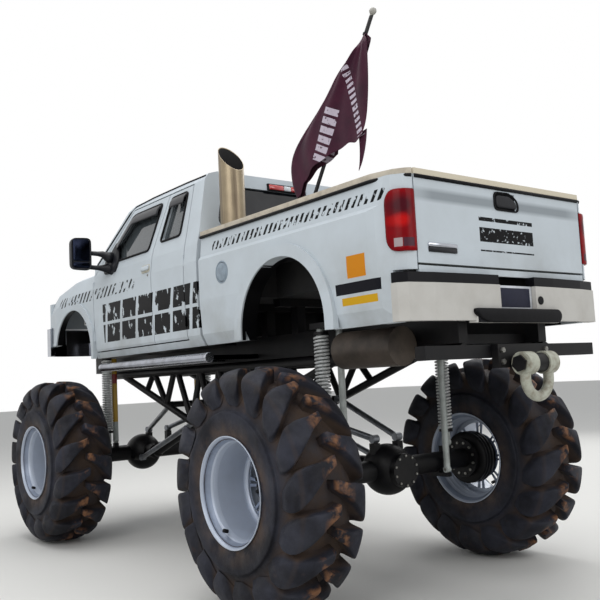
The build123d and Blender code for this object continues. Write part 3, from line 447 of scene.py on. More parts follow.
def tyreRubber(tree, place):
    # Tractor-tyre rubber: black, scuffed to grey, clay dried between its bars, on their noses and by the rim
    radius = runFrom(tree, place, (rearHub.x, frontHub.x), rearHub.z)
    y = addNode(tree, "SeparateXYZ", {"Vector": place}, 1)
    outward = addNode(tree, "Math", {"operation": "ABSOLUTE", 0: y})
    offset = addNode(tree, "Math", {"operation": "SUBTRACT", 0: outward, 1: rearHub.y})
    measured = {"radius": radius, "side": addNode(tree, "Math", {"operation": "ABSOLUTE", 0: offset})}
    clay = {name: addNode(tree, "MapRange", {"Value": measured[how], "From Min": clear, "From Max": covered})
            for name, (how, clear, covered) in clayPlaces.items()}
    dust = patches(tree, place, 240, 0.38, 0.70)
    finish = laidOver(tree, "#111118", "#30323D", [dust], 0.8)
    brown = patches(tree, place, 200, 0.25, 0.6, detail=7.0)
    finish = laidOver(tree, finish, "#44362C", [clay["valley"], clay["belowFaces"], brown], 0.85)
    rubbed = patches(tree, place, 90, 0.47, 0.62)
    finish = laidOver(tree, finish, "#80593D", [clay["crown"], clay["middle"], rubbed], 0.85)
    finish = laidOver(tree, finish, "#55463C", [clay["bead"], patches(tree, place, 170, 0.40, 0.62)], 0.7)
    finish = laidOver(tree, finish, "#5E4838", [patches(tree, place, 150, 0.62, 0.74, detail=8.0)], 0.25)
    rough = addNode(tree, "MapRange", {"Value": brown, "To Min": 0.45, "To Max": 0.85})
    return {"Base Color": finish, "Roughness": rough, "Specular IOR Level": 0.28,
            "Normal": grain(tree, place, 14, 0.0015, 0.5)}


flagMarks = [  # ends, half width, pitch, inked share
    ((-0.278, 0, 2.899), (-0.450, 0, 3.228), 0.062, 0.062, 0.70),
    ((-0.585, 0, 3.440), (-0.655, 0, 3.160), 0.030, 0.040, 0.55),
    ((-0.655, 0, 3.160), (-0.700, 0, 2.960), 0.030, 0.040, 0.55)]


def blockRow(tree, place, first, last, half, pitch, share):  # a row of plain pale blocks between two points
    run = last - first
    way = run.normalized()
    upward = (-way.z, 0, way.x)
    local = addNode(tree, "VectorMath", {"operation": "SUBTRACT", 0: place, 1: first})
    reach = addNode(tree, "VectorMath", {"operation": "DOT_PRODUCT", 0: local, 1: way}, "Value")
    offset = addNode(tree, "VectorMath", {"operation": "DOT_PRODUCT", 0: local, 1: upward}, "Value")
    length = addNode(tree, "Math", {"operation": "COMPARE", 0: reach, 1: run.length / 2, 2: run.length / 2})
    width = addNode(tree, "Math", {"operation": "COMPARE", 0: offset, 1: 0.0, 2: half})
    block = striped(tree, addNode(tree, "Math", {"operation": "DIVIDE", 0: reach, 1: pitch}), share)
    return [length, width, block]


def flagWeave(tree, place):
    # Woven polyester: matt plum, its 2 mm ribs drawn as coarse as they need to show
    finish = laidOver(tree, "#2E0F21", "#43172C", [patches(tree, place, 160, 0.3, 0.7)])
    for first, last, half, pitch, share in flagMarks:
        masks = blockRow(tree, place, at(*first), at(*last), half, pitch, share)
        finish = laidOver(tree, finish, "#B9AFBC", masks + [patches(tree, place, 25, 0.36, 0.42)])
    ribs = [addNode(tree, "TexWave", {"bands_direction": way, "Vector": place, "Scale": 160.0,
                                      "Distortion": 0.4}) for way in ("Z", "X")]
    weave = addNode(tree, "Math", {"operation": "MULTIPLY", 0: ribs[0], 1: ribs[1]})
    return {"Base Color": finish, "Roughness": 0.85, "Specular IOR Level": 0.2, "Sheen Weight": 0.08,
            "Sheen Roughness": 0.5,
            "Normal": addNode(tree, "Bump", {"Height": weave, "Distance": 0.0004, "Strength": 0.5})}


def tintedGlass(tint, transmission):
    # Tinted safety glass: dark and smooth, it mirrors the sky more than it shows the cabin
    def recipe(tree, place):
        film = patches(tree, place, 200, 0.45, 0.8)
        return {"Base Color": laidOver(tree, tint, "#8E918E", [film], 0.12), "Roughness": 0.03, "IOR": 1.5,
                "Transmission Weight": transmission, "Coat Weight": 0.15, "Coat Roughness": 0.02}
    return recipe


painted = {  # where paint changes on one piece
    "stepPads": {"z": (1.984, 2.2)},
    "lowerStep": {"z": (1.7, 1.831), "side": (0, 0.431), "x": along(-1.30, -1.1925)},
    "shockTube": {"x": (frontHub.x - 0.034, frontHub.x + 0.04), "z": (1.12, 1.78)},
    "shockBand": {"x": (frontHub.x - 0.034, frontHub.x + 0.04), "z": (1.52, 1.62)},
    "poleTip": {"z": (3.735, 3.85)},
    "stepBrackets": {"side": (0.40, 0.958)},
    # painted shade: the front bumper's back is black
    "shadedBumperBack": {"side": (0, 0.875), "x": along(4.20, 4.445)},
    "amberCorner": {"side": (0.795, 0.9)},
    "smokedBlock": {"z": (2.190, 2.240), "side": (0.832, 0.896)},
    "clearBlock": {"z": (2.190, 2.240), "side": (0.899, 0.924)},
}


def repainted(*layers):  # each layer is a place of the piece, its tone and its strength
    def marks(tree, place, finish):
        for name, tone, strength in layers:
            finish = laidOver(tree, finish, tone, [region(tree, place, **painted[name])], strength)
        return finish
    return marks


def spotOn(tree, place, side, height, size):  # 1 at a place on either side, fading to 0 round it
    flat = addNode(tree, "VectorMath", {"operation": "MULTIPLY", 0: place, 1: (0, 1, 1)})
    folded = addNode(tree, "VectorMath", {"operation": "ABSOLUTE", 0: flat})
    away = addNode(tree, "VectorMath", {"operation": "DISTANCE", 0: folded, 1: (0, side, height)}, "Value")
    return addNode(tree, "MapRange", {"Value": away, "From Min": size, "From Max": size * 0.35})


def lampMarks(tree, place, finish):  # a painted highlight low in the red, a purple shade above it, two blocks below
    finish = laidOver(tree, finish, "#2C0716", [spotOn(tree, place, 0.890, 2.430, 0.080)], 0.8)
    finish = laidOver(tree, finish, "#C81410", [spotOn(tree, place, 0.897, 2.342, 0.050)], 0.7)
    blocks = repainted(("smokedBlock", "#3A2B36", 0.85), ("clearBlock", "#A59B9C", 0.9))
    return blocks(tree, place, finish)


def paintedReflectionStreaks(tree, place, finish):  # painted reflections: dark streaks run down the stack
    streaks = patches(tree, place, 45, 0.52, 0.70, (1, 1, 0.04), 3.0)
    return laidOver(tree, finish, "#57493B", [streaks], 0.7)


finishRecipes = {
    "sprayedEnamel": enamel(),
    "sprayedEnamelWithBars": enamel(doorMarks),
    "sprayedEnamelWithStripes": enamel(bedMarks),
    "sprayedEnamelWithPanel": enamel(gateMarks),
    # Cream bumper enamel, warmer and duller than the body, with black rubber pads and lower step
    "creamEnamel": coated("#BFBDB8", "#A39F98", {"Roughness": 0.42, "Specular IOR Level": 0.13}, 260, 0.4,
                          marks=repainted(("stepPads", "#07070C", 1.0), ("lowerStep", "#07070C", 1.0))),
    # Moulded ABS caps, sun-yellowed and matt
    "mouldedAbsCap": coated("#C4BBAB", "#958B7C", {"Roughness": 0.6, "Specular IOR Level": 0.3}, 70, 0.6),
    # EPDM seals and pads, dull black
    "epdmSeal": coated("#08080B", "#17171A", {"Roughness": 0.6, "Specular IOR Level": 0.15}, 40, 0.4),
    # Glass-filled ABS with a moulded texture
    "texturedAbs": coated("#0B0C12", "#1E2028", {"Roughness": 0.45, "Specular IOR Level": 0.25}, 90, 0.35, 2,
                          0.0004),
    # Smoked acrylic visors: nearly black, with a soft shine
    "smokedAcrylic": coated("#0D0F15", "#1D2028", {"Roughness": 0.3, "Specular IOR Level": 0.3}, 200, 0.5),
    # The door handles' cups: enamel a little darker than the body, beige in patches
    "beigeHandleEnamel": coated("#B3B1A6", "#8F8468", {"Roughness": 0.45}, 40, 0.7),
    # Chassis enamel brushed on: black with a little dust
    "chassisEnamel": coated("#060609", "#1B1817", {"Roughness": 0.45, "Specular IOR Level": 0.22}, 110, 0.45,
                            6),
    # Sand-cast iron: matt and coarse under oily dust
    "castIron": coated("#121212", "#2C2622", {"Roughness": 0.75, "Specular IOR Level": 0.25}, 60, 0.7, 3,
                       0.001),
    # Wheel enamel: silver-blue grey with a soft shine
    "silverWheelEnamel": coated("#8792A6", "#5C5E66", {"Roughness": 0.36, "Metallic": 0.2,
                                                       "Coat Weight": 0.1}, 130, 0.35, marks=rimHighlights),
    # Brushed black enamel on hubs and drums: dull, with brake dust
    "blackHubEnamel": coated("#050507", "#191716", {"Roughness": 0.5, "Specular IOR Level": 0.2}, 60, 0.5),
    # Drawn steel tube: grey with dull scratches
    "drawnSteel": coated("#7E8288", "#3E3A37", {"Roughness": 0.38, "Metallic": 0.7}, 90, 0.6),
    # Baked enamel on shock tubes: smooth grey, yellow with a red band in front
    "greyShockEnamel": coated("#A9AFAC", "#6F6E69", {"Roughness": 0.35, "Coat Weight": 0.3}, 80, 0.5,
                              marks=repainted(("shockTube", "#B9932B", 1.0), ("shockBand", "#8C2A22", 1.0))),
    # Powder coat on spring wire: off-white, satin
    "powderCoat": coated("#C9CBCB", "#77736C", {"Roughness": 0.45}, 30, 0.6),
    # Tow shackle enamel: pale, worn through to rust
    "wornTowEnamel": coated("#A8AA9C", "#5E4A36", {"Roughness": 0.5}, 45, 0.65, 3, 0.0006),
    # Chrome plate on steel: a clear mirror with faint water marks
    "chromedTube": coated("#AEB1B8", "#7B7C80", {"Roughness": 0.14, "Metallic": 1.0}, 200, 0.3),
    # The same chrome on the front bumper, whose back is black as painted shade
    "chromedBumper": coated("#AEB1B8", "#7B7C80", {"Roughness": 0.14, "Metallic": 1.0}, 200, 0.3,
                            marks=repainted(("shadedBumperBack", "#050507", 1.0))),
    # The same chrome on the step tubes, whose brackets are painted black
    "chromedStepTube": coated("#A2A5AE", "#5C5A5C", {"Roughness": 0.18, "Metallic": 1.0}, 120, 0.5,
                              marks=repainted(("stepBrackets", "#0C0C0E", 1.0))),
    # Exhaust chrome with a painted tan reflection over dulled metal and painted dark reflections streaked
    # down its length
    "chromeWithPaintedReflections": coated("#93856D", "#6B5D4C", {"Roughness": 0.38, "Metallic": 0.55}, 300, 0.7,
                               marks=paintedReflectionStreaks),
    # Diesel soot: matt black powder
    "dieselSoot": coated("#050505", "#141210", {"Roughness": 0.9}, 30, 0.5),
    # Enamelled pole, dark and smooth, with its ball and tip bare metal
    "paintedPole": coated("#1B1B1E", "#3A3633", {"Roughness": 0.35}, 60, 0.3,
                          marks=repainted(("poleTip", "#9C9A93", 1.0))),
    # Rolled aluminium tank under old road dirt: dull brown-black
    "dustyAluminium": coated("#544B43", "#2E2824", {"Roughness": 0.55, "Metallic": 0.3}, 160, 0.8, 5, 0.0006),
    # Moulded vinyl: dark grey with a leather grain
    "cabinVinyl": coated("#2A2B2D", "#3E3D3B", {"Roughness": 0.6}, 80, 0.3, 1.5, 0.0003),
    # Woven seat cloth: matt and faintly mottled
    "wovenSeatCloth": coated("#3A3B3E", "#2A2A2B", {"Roughness": 0.9, "Sheen Weight": 0.3}, 12, 0.6, 2,
                             0.0006),
    # Spray-on bed liner: black with a coarse pebble
    "sprayedLiner": coated("#0E0E10", "#2C2A28", {"Roughness": 0.75}, 160, 0.4, 5, 0.0015),
    "weatheredTyreRubber": tyreRubber,
    "wovenPolyester": flagWeave,
    "tintedSideGlass": tintedGlass("#596064", 0.45),
    "tintedRearGlass": tintedGlass("#090C16", 0.3),
    # Moulded acrylic: a deep red with a painted highlight low in it
    "redAcrylic": coated("#7E0009", "#56000B", {"Roughness": 0.22, "Specular IOR Level": 0.1}, 120, 0.6,
                         marks=lampMarks),
    # The roof lamp's plain red lenses: clean and glossy
    "redAcrylicPlain": coated("#B5161A", "#7B0E12", {"Roughness": 0.1, "Coat Weight": 1.0}, 30, 0.4),
    # Clear acrylic over a bright reflector, with an amber corner on the headlamps
    "clearAcrylic": coated("#C9CFD3", "#9AA0A6", {"Roughness": 0.06, "Coat Weight": 1.0}, 30, 0.3,
                           marks=repainted(("amberCorner", "#C67A1C", 1.0))),
    # Grey primer on the fuel door: flat and unpolished
    "greyPrimer": coated("#8694A0", "#68727C", {"Roughness": 0.45}, 40, 0.6),
    # Painted aluminium sheet: the plate's pale edge and its dark field
    "blankPlateSheet": coated("#C9CCD2", "#8B8E94", {"Roughness": 0.4}, 40, 0.4),
    "blankPlateField": coated("#171A2E", "#0F1120", {"Roughness": 0.45, "Specular IOR Level": 0.2}, 25, 0.5),
    # Mirror glass: smooth metal, its dark colour a painted reflection of the far ground
    "silveredGlass": coated("#1B1F2C", "#141824", {"Roughness": 0.05, "Metallic": 1.0}, 300, 0.2),
    # Zinc plate on bolts: grey metal that browns in its corners
    "zincBolt": coated("#8A8A86", "#4C3F33", {"Roughness": 0.4, "Metallic": 0.8}, 15, 0.6),
}
finishes = {name: makeMaterial(name, recipe) for name, recipe in finishRecipes.items()}
print("materials are ready")

dressed = {
    "sprayedEnamel": ["hood", "grille"],
    "sprayedEnamelWithBars": ["cab", "door_front_left", "door_front_right", "door_rear_left",
                              "door_rear_right", "fenders"],
    "sprayedEnamelWithStripes": ["bed_sides"],
    "sprayedEnamelWithPanel": ["tailgate"],
    "creamEnamel": ["rear_bumper"],
    "mouldedAbsCap": ["rail_caps"],
    "chassisEnamel": ["frame", "truss", "tow_hitch", "rear_axle", "front_axle", "knuckle_left",
                      "knuckle_right", "driveline", "bed_sills"],
    "castIron": ["engine"],
    "drawnSteel": ["links", "tie_rod"],
    "greyShockEnamel": ["dampers"],
    "wornTowEnamel": ["shackle"],
    "chromedBumper": ["front_bumper"],
    "chromedStepTube": ["step_bars"],
    "chromeWithPaintedReflections": ["stack"],
    "paintedPole": ["flag_pole"],
    "dustyAluminium": ["tank"],
    "cabinVinyl": ["dashboard"],
    "wovenSeatCloth": ["seats"],
    "sprayedLiner": ["bed_box", "wheel_tubs"],
    "tintedSideGlass": ["glass_front_left", "glass_front_right", "glass_rear_left", "glass_rear_right"],
    "tintedRearGlass": ["cab_glass"],
    "clearAcrylic": ["headlamps"],
}
for finish, nodes in dressed.items():
    for node in nodes:
        data = frame["nodes"][node].data
        data.materials.clear()
        data.materials.append(finishes[finish])

# Tyres: a rounded carcass under two rows of broad tongue-shaped bars

tyreSizes = {"bars": 17, "steps": 20, "around": 102, "noseX": 0.120, "tailX": -0.105, "noseLead": 0.120,
             "radius": 0.783, "turnRadius": 0.74, "roundFrom": 0.66, "roundTo": 1.03, "nosePoint": 0.010,
             "straight": 0.75, "closedWidth": 0.8, "waves": 9, "uneven": 0.0022,
             "seed": 12}
carcass = [(0.331, 0.244), (0.345, 0.252), (0.358, 0.256), (0.372, 0.252), (0.384, 0.257), (0.43, 0.265),
           (0.484, 0.2705), (0.500, 0.2705), (0.504, 0.267), (0.506, 0.250), (0.511, 0.243), (0.552, 0.238),
           (0.602, 0.220), (0.636, 0.196), (0.664, 0.160), (0.684, 0.105), (0.692, 0.05)]  # radius, side
barBack = [(-0.012, 0.783), (0.110, 0.780), (0.185, 0.764), (0.232, 0.732), (0.256, 0.690),
           (0.268, 0.640), (0.2710, 0.604)]  # side, radius
barFoot = [(-0.012, 0.688), (0.105, 0.680), (0.160, 0.660), (0.198, 0.632), (0.224, 0.598),
           (0.240, 0.562), (0.246, 0.545)]
barHalf = [(0.0, 0.031), (0.25, 0.044), (0.50, 0.090), (0.70, 0.119), (1.0, 0.123)]  # share, half width
barSection = [(-1.16, 0.0), (-1.06, 0.06), (-1.0, 0.55), (-0.965, 0.92), (-0.90, 1.0), (-0.4, 1.01),
              (0.4, 1.01), (0.90, 1.0), (0.965, 0.92), (1.0, 0.55), (1.06, 0.06),
              (1.16, 0.0)]  # shares of half width and height


def barShape():
    size, rows = tyreSizes, []
    for step in range(-1, size["steps"] + 2):
        part = max(0.0, min(1.0, step / size["steps"]))
        beyond = step - part * size["steps"]
        backSide, backRadius = alongLine(barBack, part)
        footSide, footRadius = alongLine(barFoot, part)
        x = size["noseX"] + (size["tailX"] - size["noseX"]) * (
            size["straight"] * part + (1 - size["straight"]) * part ** 2)
        roundness = max(0.0, part - size["roundFrom"]) / (size["roundTo"] - size["roundFrom"])
        half = between(barHalf, part) * math.sqrt(1 - roundness ** 2)
        row = []
        for share, height in barSection:
            lift = 0.0 if beyond else height
            side = footSide + (backSide - footSide) * lift + size["nosePoint"] * min(0, beyond)
            radius = footRadius + (backRadius - footRadius) * lift
            wide = size["closedWidth"] if beyond else 1.0
            angle = (x + half * share * wide) / size["turnRadius"]
            row.append(Vector((radius * math.sin(angle), side, radius * math.cos(angle))))
        rows.append(row)
    points, faces = grid(rows)
    return points, [list(reversed(face)) for face in faces]


def tyreShape():
    shapes = [turned(carcass + [(r, -y) for r, y in reversed(carcass)], tyreSizes["around"])]
    bar = barShape()
    turn = 2 * math.pi / tyreSizes["bars"]
    for index in range(tyreSizes["bars"]):
        shapes.append(moved(bar, Matrix.Rotation(index * turn, 4, "Y")))
        shapes.append(moved(mirrored(bar), Matrix.Rotation((index + 0.5) * turn, 4, "Y")))
    lead = math.asin(tyreSizes["noseLead"] / tyreSizes["radius"])
    points, faces = moved(joined(shapes), Matrix.Rotation(math.pi - lead, 4, "Y"))
    waves, uneven = tyreSizes["waves"], tyreSizes["uneven"]
    noise.seed_set(tyreSizes["seed"])  # so that each run gives the same tyre
    return [point + noise.noise_vector(point * waves) * uneven for point in points], faces


def setWheel(shape, hub, side):  # a left-hand wheel shape at its hub, or its mirror image on the right
    return onSide(moved(shape, Matrix.Translation(Vector((hub.x, abs(hub.y), hub.z)))), side)


# Rims: deep stepped barrel, plate with paired spokes and a black hub and drum

rimSizes = {"around": 96, "spokes": 8, "plateSide": -0.070, "plateThick": 0.012, "hubEdge": 0.160,
            "plateLift": 0.012}
rimProfile = [(0.3535, 0.262), (0.354, 0.268), (0.350, 0.270), (0.346, 0.267), (0.343, 0.258),
              (0.336, 0.250), (0.333, 0.240), (0.331, 0.226), (0.324, 0.219), (0.320, 0.208),
              (0.312, 0.201), (0.307, 0.190), (0.304, 0.16), (0.298, 0.06), (0.296, -0.06),
              (0.293, -0.10), (0.297, -0.112), (0.297, -0.124), (0.293, -0.134), (0.300, -0.146),
              (0.304, -0.158), (0.300, -0.170), (0.310, -0.184), (0.314, -0.196), (0.310, -0.208),
              (0.321, -0.222), (0.324, -0.236), (0.330, -0.250), (0.343, -0.258), (0.346, -0.267),
              (0.350, -0.270), (0.354, -0.268), (0.3535, -0.262)]
plateRings = [0.118, 0.150, 0.178, 0.205, 0.235, 0.262, 0.296]
openRings = (2, 3, 4)
spokePattern = [(5.0, False)] + [(5.0, True)] * 6 + [(5.0, False), (5.0, True)]  # degrees wide, open
drumProfile = [(0.0, -0.262), (0.150, -0.262), (0.196, -0.258), (0.203, -0.250), (0.203, -0.225),
               (0.198, -0.220), (0.203, -0.215), (0.203, -0.190), (0.198, -0.185), (0.203, -0.180),
               (0.203, -0.152), (0.150, -0.120), (0.148, -0.062), (0.122, -0.056), (0.118, -0.050),
               (0.112, -0.030), (0.092, -0.026), (0.090, -0.012), (0.0, -0.010)]
hubBolts = (  # count, ring, offset, size, height
    (10, 0.134, -0.058, 0.014, 0.026), (8, 0.100, -0.030, 0.009, 0.012))


def plateShape():
    columns, angle = [], 0.0
    for width, isOpen in spokePattern * rimSizes["spokes"]:
        columns.append((math.radians(angle), isOpen))
        angle += width
    rows = []
    for radius in plateRings:
        y = rimSizes["plateSide"] + rimSizes["plateLift"] * (radius < rimSizes["hubEdge"])
        rows.append([Vector((radius * math.sin(a), y, radius * math.cos(a))) for a, _ in columns])
    points, faces = grid(rows, closedLines=True)
    kept = []
    for index, face in enumerate(faces):
        row, column = divmod(index, len(columns))
        if not (row in openRings and columns[column][1]):
            kept.append(face)
    return points, kept


def hubShape():
    shapes = [turned(drumProfile, 48)]
    for count, ring, offset, size, height in hubBolts:
        places = [Vector((ring * math.sin(turn), offset, ring * math.cos(turn))) for turn in turns(count)]
        shapes.append(bolts(places, (0, 1, 0), size, height))
    return joined(shapes)


weldRing = [(0.306, -0.060), (0.300, -0.044), (0.286, -0.044), (0.268, -0.056), (0.264, -0.066)]
tyreForm, plateForm, hubForm = tyreShape(), plateShape(), hubShape()
rimForm = joined([turned(rimProfile, rimSizes["around"]), turned(weldRing, rimSizes["around"])])
valveForm = tube([(0.130, 0.205, -0.262), (0.126, 0.236, -0.252)], 0.013, around=12)
for end, hub in (("front", frontHub), ("rear", rearHub)):
    for name, side in sides.items():
        body = f"wheel_{end}_{name}"
        addPiece(f"tyre_bars_{end}_{name}", setWheel(tyreForm, hub, side), "weatheredTyreRubber", body,
                 (f"tyre_{end}_{name}",), smoothing=1)
        addPiece(f"rim_{end}_{name}", setWheel(rimForm, hub, side), "silverWheelEnamel", body,
                 (f"wheel_{end}_{name}",), thickness=0.004)
        addPiece(f"spokes_{end}_{name}", setWheel(plateForm, hub, side), "silverWheelEnamel", body,
                 thickness=rimSizes["plateThick"], bevel=0.003)
        addPiece(f"hub_{end}_{name}", setWheel(hubForm, hub, side), "blackHubEnamel", body)
        addPiece(f"valve_{end}_{name}", setWheel(valveForm, hub, side), "epdmSeal", body)
print("wheels are on")

# Coil springs: round wire between two collars

coil = {"offset": 0.600, "bottom": 1.010, "top": 1.790, "turns": 30, "wire": 0.0083, "radius": 0.0465,
        "perTurn": 18, "behind": 0.044, "collar": 0.022, "collarRadius": 0.054}


def coilShape(x, y):
    path = []
    count = coil["turns"] * coil["perTurn"]
    rise = coil["top"] - coil["bottom"] - 2 * coil["collar"]
    for step in range(count + 1):
        angle = 2 * math.pi * step / coil["perTurn"]
        path.append(Vector((x + coil["radius"] * math.cos(angle), y + coil["radius"] * math.sin(angle),
                            coil["bottom"] + coil["collar"] + rise * step / count)))
    return tube(path, coil["wire"], around=8)


springForms, collarForms = [], []
for hub in (frontHub, rearHub):
    for side in sides.values():
        x, y = hub.x - coil["behind"], side * coil["offset"]
        springForms.append(coilShape(x, y))
        for z in (coil["bottom"], coil["top"] - coil["collar"]):
            collarForms.append(tube([(x, y, z), (x, y, z + coil["collar"])], coil["collarRadius"], around=24))
addPiece("coil_wires", joined(springForms), "powderCoat", "chassis", ("springs",))
addPiece("coil_collars", joined(collarForms), "chassisEnamel", "chassis", bevel=0.002)
print("springs are in")

# Flag: gathered under the pole's ball, smooth in front, its forward edge folded back behind

flagSizes = {"flat": (0.762, 1.219), "across": 96, "down": 80, "middle": 0.768, "fold": 0.026,
             "foldShare": 0.4, "folded": 0.58, "wave": 0.015, "waves": 2.6, "waveLean": 2.2, "mainWave": 0.75,
             "ripples": 2.7, "rippleLean": 3, "gather": 0.3, "gatherOver": 0.45, "tied": 0.14,
             "tiedIn": 0.046, "tiedBack": 0.060}
flagNear = [(-0.783, 3.632), (-0.806, 3.560), (-0.814, 3.443), (-0.794, 3.188), (-0.774, 3.037),
            (-0.727, 2.962), (-0.669, 2.930)]  # edge by the pole
flagFar = [(-0.777, 3.632), (-0.712, 3.545), (-0.640, 3.500), (-0.492, 3.420), (-0.362, 3.311),
           (-0.185, 3.200), (0.000, 3.060), (0.060, 2.960), (0.060, 2.850), (0.035, 2.755),
           (0.004, 2.705)]
flagEnd = [(0.0, 0.0), (0.16, 0.050), (0.42, 0.080), (0.68, 0.096), (0.85, 0.064), (0.92, 0.0),
           (1.0, 0.0)]
flagCorner = [(-0.715, 2.990), (-0.712, 2.930), (-0.698, 2.860), (-0.675, 2.790), (-0.650, 2.748)]


def softened(line, passes=3):  # the line with its corners cut
    for _ in range(passes):
        cut = [line[0]]
        for (a, b), (c, d) in zip(line, line[1:]):
            cut += [(0.75 * a + 0.25 * c, 0.75 * b + 0.25 * d), (0.25 * a + 0.75 * c, 0.25 * b + 0.75 * d)]
        line = cut + [line[-1]]
    return line


def flagRows():
    size, rows = flagSizes, []
    nearLine, farLine = softened(flagNear), softened(flagFar)
    for step in range(size["down"] + 1):
        fall = step / size["down"]
        near, far = alongLine(nearLine, fall), alongLine(farLine, fall)
        spread = math.dist(near, far)
        radius = min(size["fold"], size["foldShare"] * spread)
        front, bend = spread - radius, math.pi * radius
        whole = front + bend + size["folded"] * spread
        tied = eased(1 - fall / size["tied"])
        gather = min(1.0, size["gather"] + spread / size["gatherOver"])
        row = []
        for column in range(size["across"] + 1):
            part = column / size["across"]
            reach = part * whole
            bent = max(0.0, min(math.pi, (reach - front) / radius))
            run = min(reach, front) + radius * math.sin(bent) - max(0.0, reach - front - bend)
            share = run / spread
            turn = 2 * math.pi * size["waves"] * part + size["waveLean"] * fall
            main = size["mainWave"] * math.sin(turn)
            ripple = (1 - size["mainWave"]) * math.sin(size["ripples"] * turn + size["rippleLean"] * fall)
            depth = radius * math.cos(bent) + gather * size["wave"] * (main + ripple)
            rise = between(flagEnd, share, eased)
            x = near[0] + (far[0] - near[0]) * share + size["tiedBack"] * tied
            z = near[1] + (far[1] - near[1]) * share + rise * fall ** 2
            row.append(at(x, size["middle"] + depth - size["tiedIn"] * tied, z))
        rows.append(row)
    return rows


cornerSizes = {"steps": 16, "half": 0.040, "taper": 0.8, "least": 0.002, "behind": 0.016, "curl": 0.010}


def cornerRows():  # the lower corner hangs behind the pole, narrowing to a point
    size, rows = cornerSizes, []
    for step in range(size["steps"] + 1):
        part = step / size["steps"]
        x, z = alongLine(softened(flagCorner), part)
        half = size["half"] * (1 - part) ** size["taper"] + size["least"]
        row = []
        for share in (-1, -0.5, 0, 0.5, 1):
            depth = flagSizes["middle"] + size["behind"] + size["curl"] * abs(share) * (1 - part)
            row.append(at(x + half * share, depth, z))
        rows.append(row)
    return rows


clothPiece = addPiece("flag_cloth", grid(flagRows()), "wovenPolyester", "chassis", ("flag",))
cornerPiece = addPiece("flag_corner", grid(cornerRows()), "wovenPolyester", "chassis")
poleTie = {"pole": (-0.697, 0.700, 3.632), "across": (0.854, 0.0, 0.520), "radius": 0.018, "cord": 0.004,
           "end": ((-0.697, 0.716, 3.632), (-0.706, 0.722, 3.636), (-0.720, 0.722, 3.632)), "knot": 0.009,
           "steps": 24}
tieRing = []
for turn in turns(poleTie["steps"]):
    spread = math.cos(turn) * Vector(poleTie["across"]) + math.sin(turn) * Vector((0, 1, 0))
    tieRing.append(at(*poleTie["pole"]) + poleTie["radius"] * spread)
tieEnd = tube([at(*place) for place in poleTie["end"]], poleTie["knot"], around=8)
tieForm = joined([tube(tieRing, poleTie["cord"], around=8, closed=True), tieEnd])
tiePiece = addPiece("flag_tie", tieForm, "epdmSeal", "chassis")
print("flag hangs, area", round(sum(polygon.area for polygon in clothPiece.data.polygons), 3))

# Cab trim: everything follows the slope of the cab's side

cabSide = [(1.765, 0.905), (1.85, 0.945), (2.15, 0.962), (2.43, 0.962), (2.565, 0.945), (2.64, 0.928),
           (3.115, 0.812), (3.166, 0.772), (3.192, 0.690)]  # height, distance from the middle
windows = {
    "front": [(1.945, 2.646), (2.850, 2.646), (2.400, 3.040), (2.330, 3.050), (1.835, 3.050)],
    "rear": [(1.400, 2.686), (1.745, 2.686), (1.665, 3.060), (1.395, 3.060)],
}
trim = {"seal": 0.010, "sealDepth": 0.004, "corner": 0.040, "visor": 0.085, "visorSteps": 24,
        "roofEdge": 3.10}
visorSection = [(-0.18, 0.002), (0.0, 0.018), (0.35, 0.030), (0.8, 0.034), (1.0, 0.030)]  # share, proud
visorLines = {
    "front": [(1.850, 3.036), (2.10, 3.040), (2.335, 3.042), (2.405, 3.026), (2.52, 2.928), (2.64, 2.823)],
    "rear": [(1.402, 3.046), (1.54, 3.050), (1.652, 3.048)],
}


def onCab(x, z, proud):
    return at(x, between(cabSide, z) + proud, z)


def visorShape(line):
    rows, count = [], trim["visorSteps"]
    for step in range(count + 1):
        x, z = alongLine(line, step / count)
        before = alongLine(line, max(0, step - 1) / count)
        after = alongLine(line, min(count, step + 1) / count)
        run = Vector((after[0] - before[0], after[1] - before[1])).normalized()
        inward = Vector((run.y, -run.x))
        row = []
        for share, proud in visorSection:
            place = Vector((x, z)) + inward * trim["visor"] * share
            row.append(onCab(place.x, min(place.y, trim["roofEdge"]), proud))
        rows.append(row)
    return grid(rows)


for doorName in ("front", "rear"):
    sealPath = [onCab(x, z, trim["sealDepth"]) for x, z in rounded(windows[doorName], trim["corner"], 6)]
    sealForm = tube(sealPath, trim["seal"], around=8, closed=True)
    visorForm = visorShape(visorLines[doorName])
    for name, side in sides.items():
        body = f"door_{doorName}_{name}"
        addPiece(f"window_seal_{doorName}_{name}", onSide(sealForm, side), "epdmSeal", body)
        addPiece(f"visor_{doorName}_{name}", onSide(visorForm, side), "smokedAcrylic", body,
                 thickness=0.003)

# Mirrors: tall rounded heads on two arms from a sail at the window's corner

mirror = {"inner": 1.158, "outer": 1.350, "bottom": 2.556, "top": 2.862, "corner": 0.052, "rise": 0.006,
          "fall": 0.010, "paneInner": 1.176, "paneOuter": 1.334, "paneCorner": 0.022,
          "panes": ((2.640, 2.842), (2.578, 2.628)), "arms": ((2.590, 2.590), (2.722, 2.690)),
          "armRadii": (0.072, 0.056, 0.036, 0.026, 0.024), "pod": (2.705, 2.640), "podReach": (0.062, 0.092),
          "podSteps": 20}  # arms: height, root
headLayers = [(2.640, 0.86), (2.640, 0.93), (2.633, 0.95), (2.634, 0.99), (2.645, 1.0), (2.690, 0.99),
              (2.715, 0.93), (2.728, 0.70)]  # station, share of the outline
sailOutline = [(2.850, 2.640), (2.640, 2.845), (2.600, 2.800), (2.540, 2.650), (2.575, 2.545), (2.810, 2.545)]


def facingBack(y, z, x):
    return at(x, y, z)


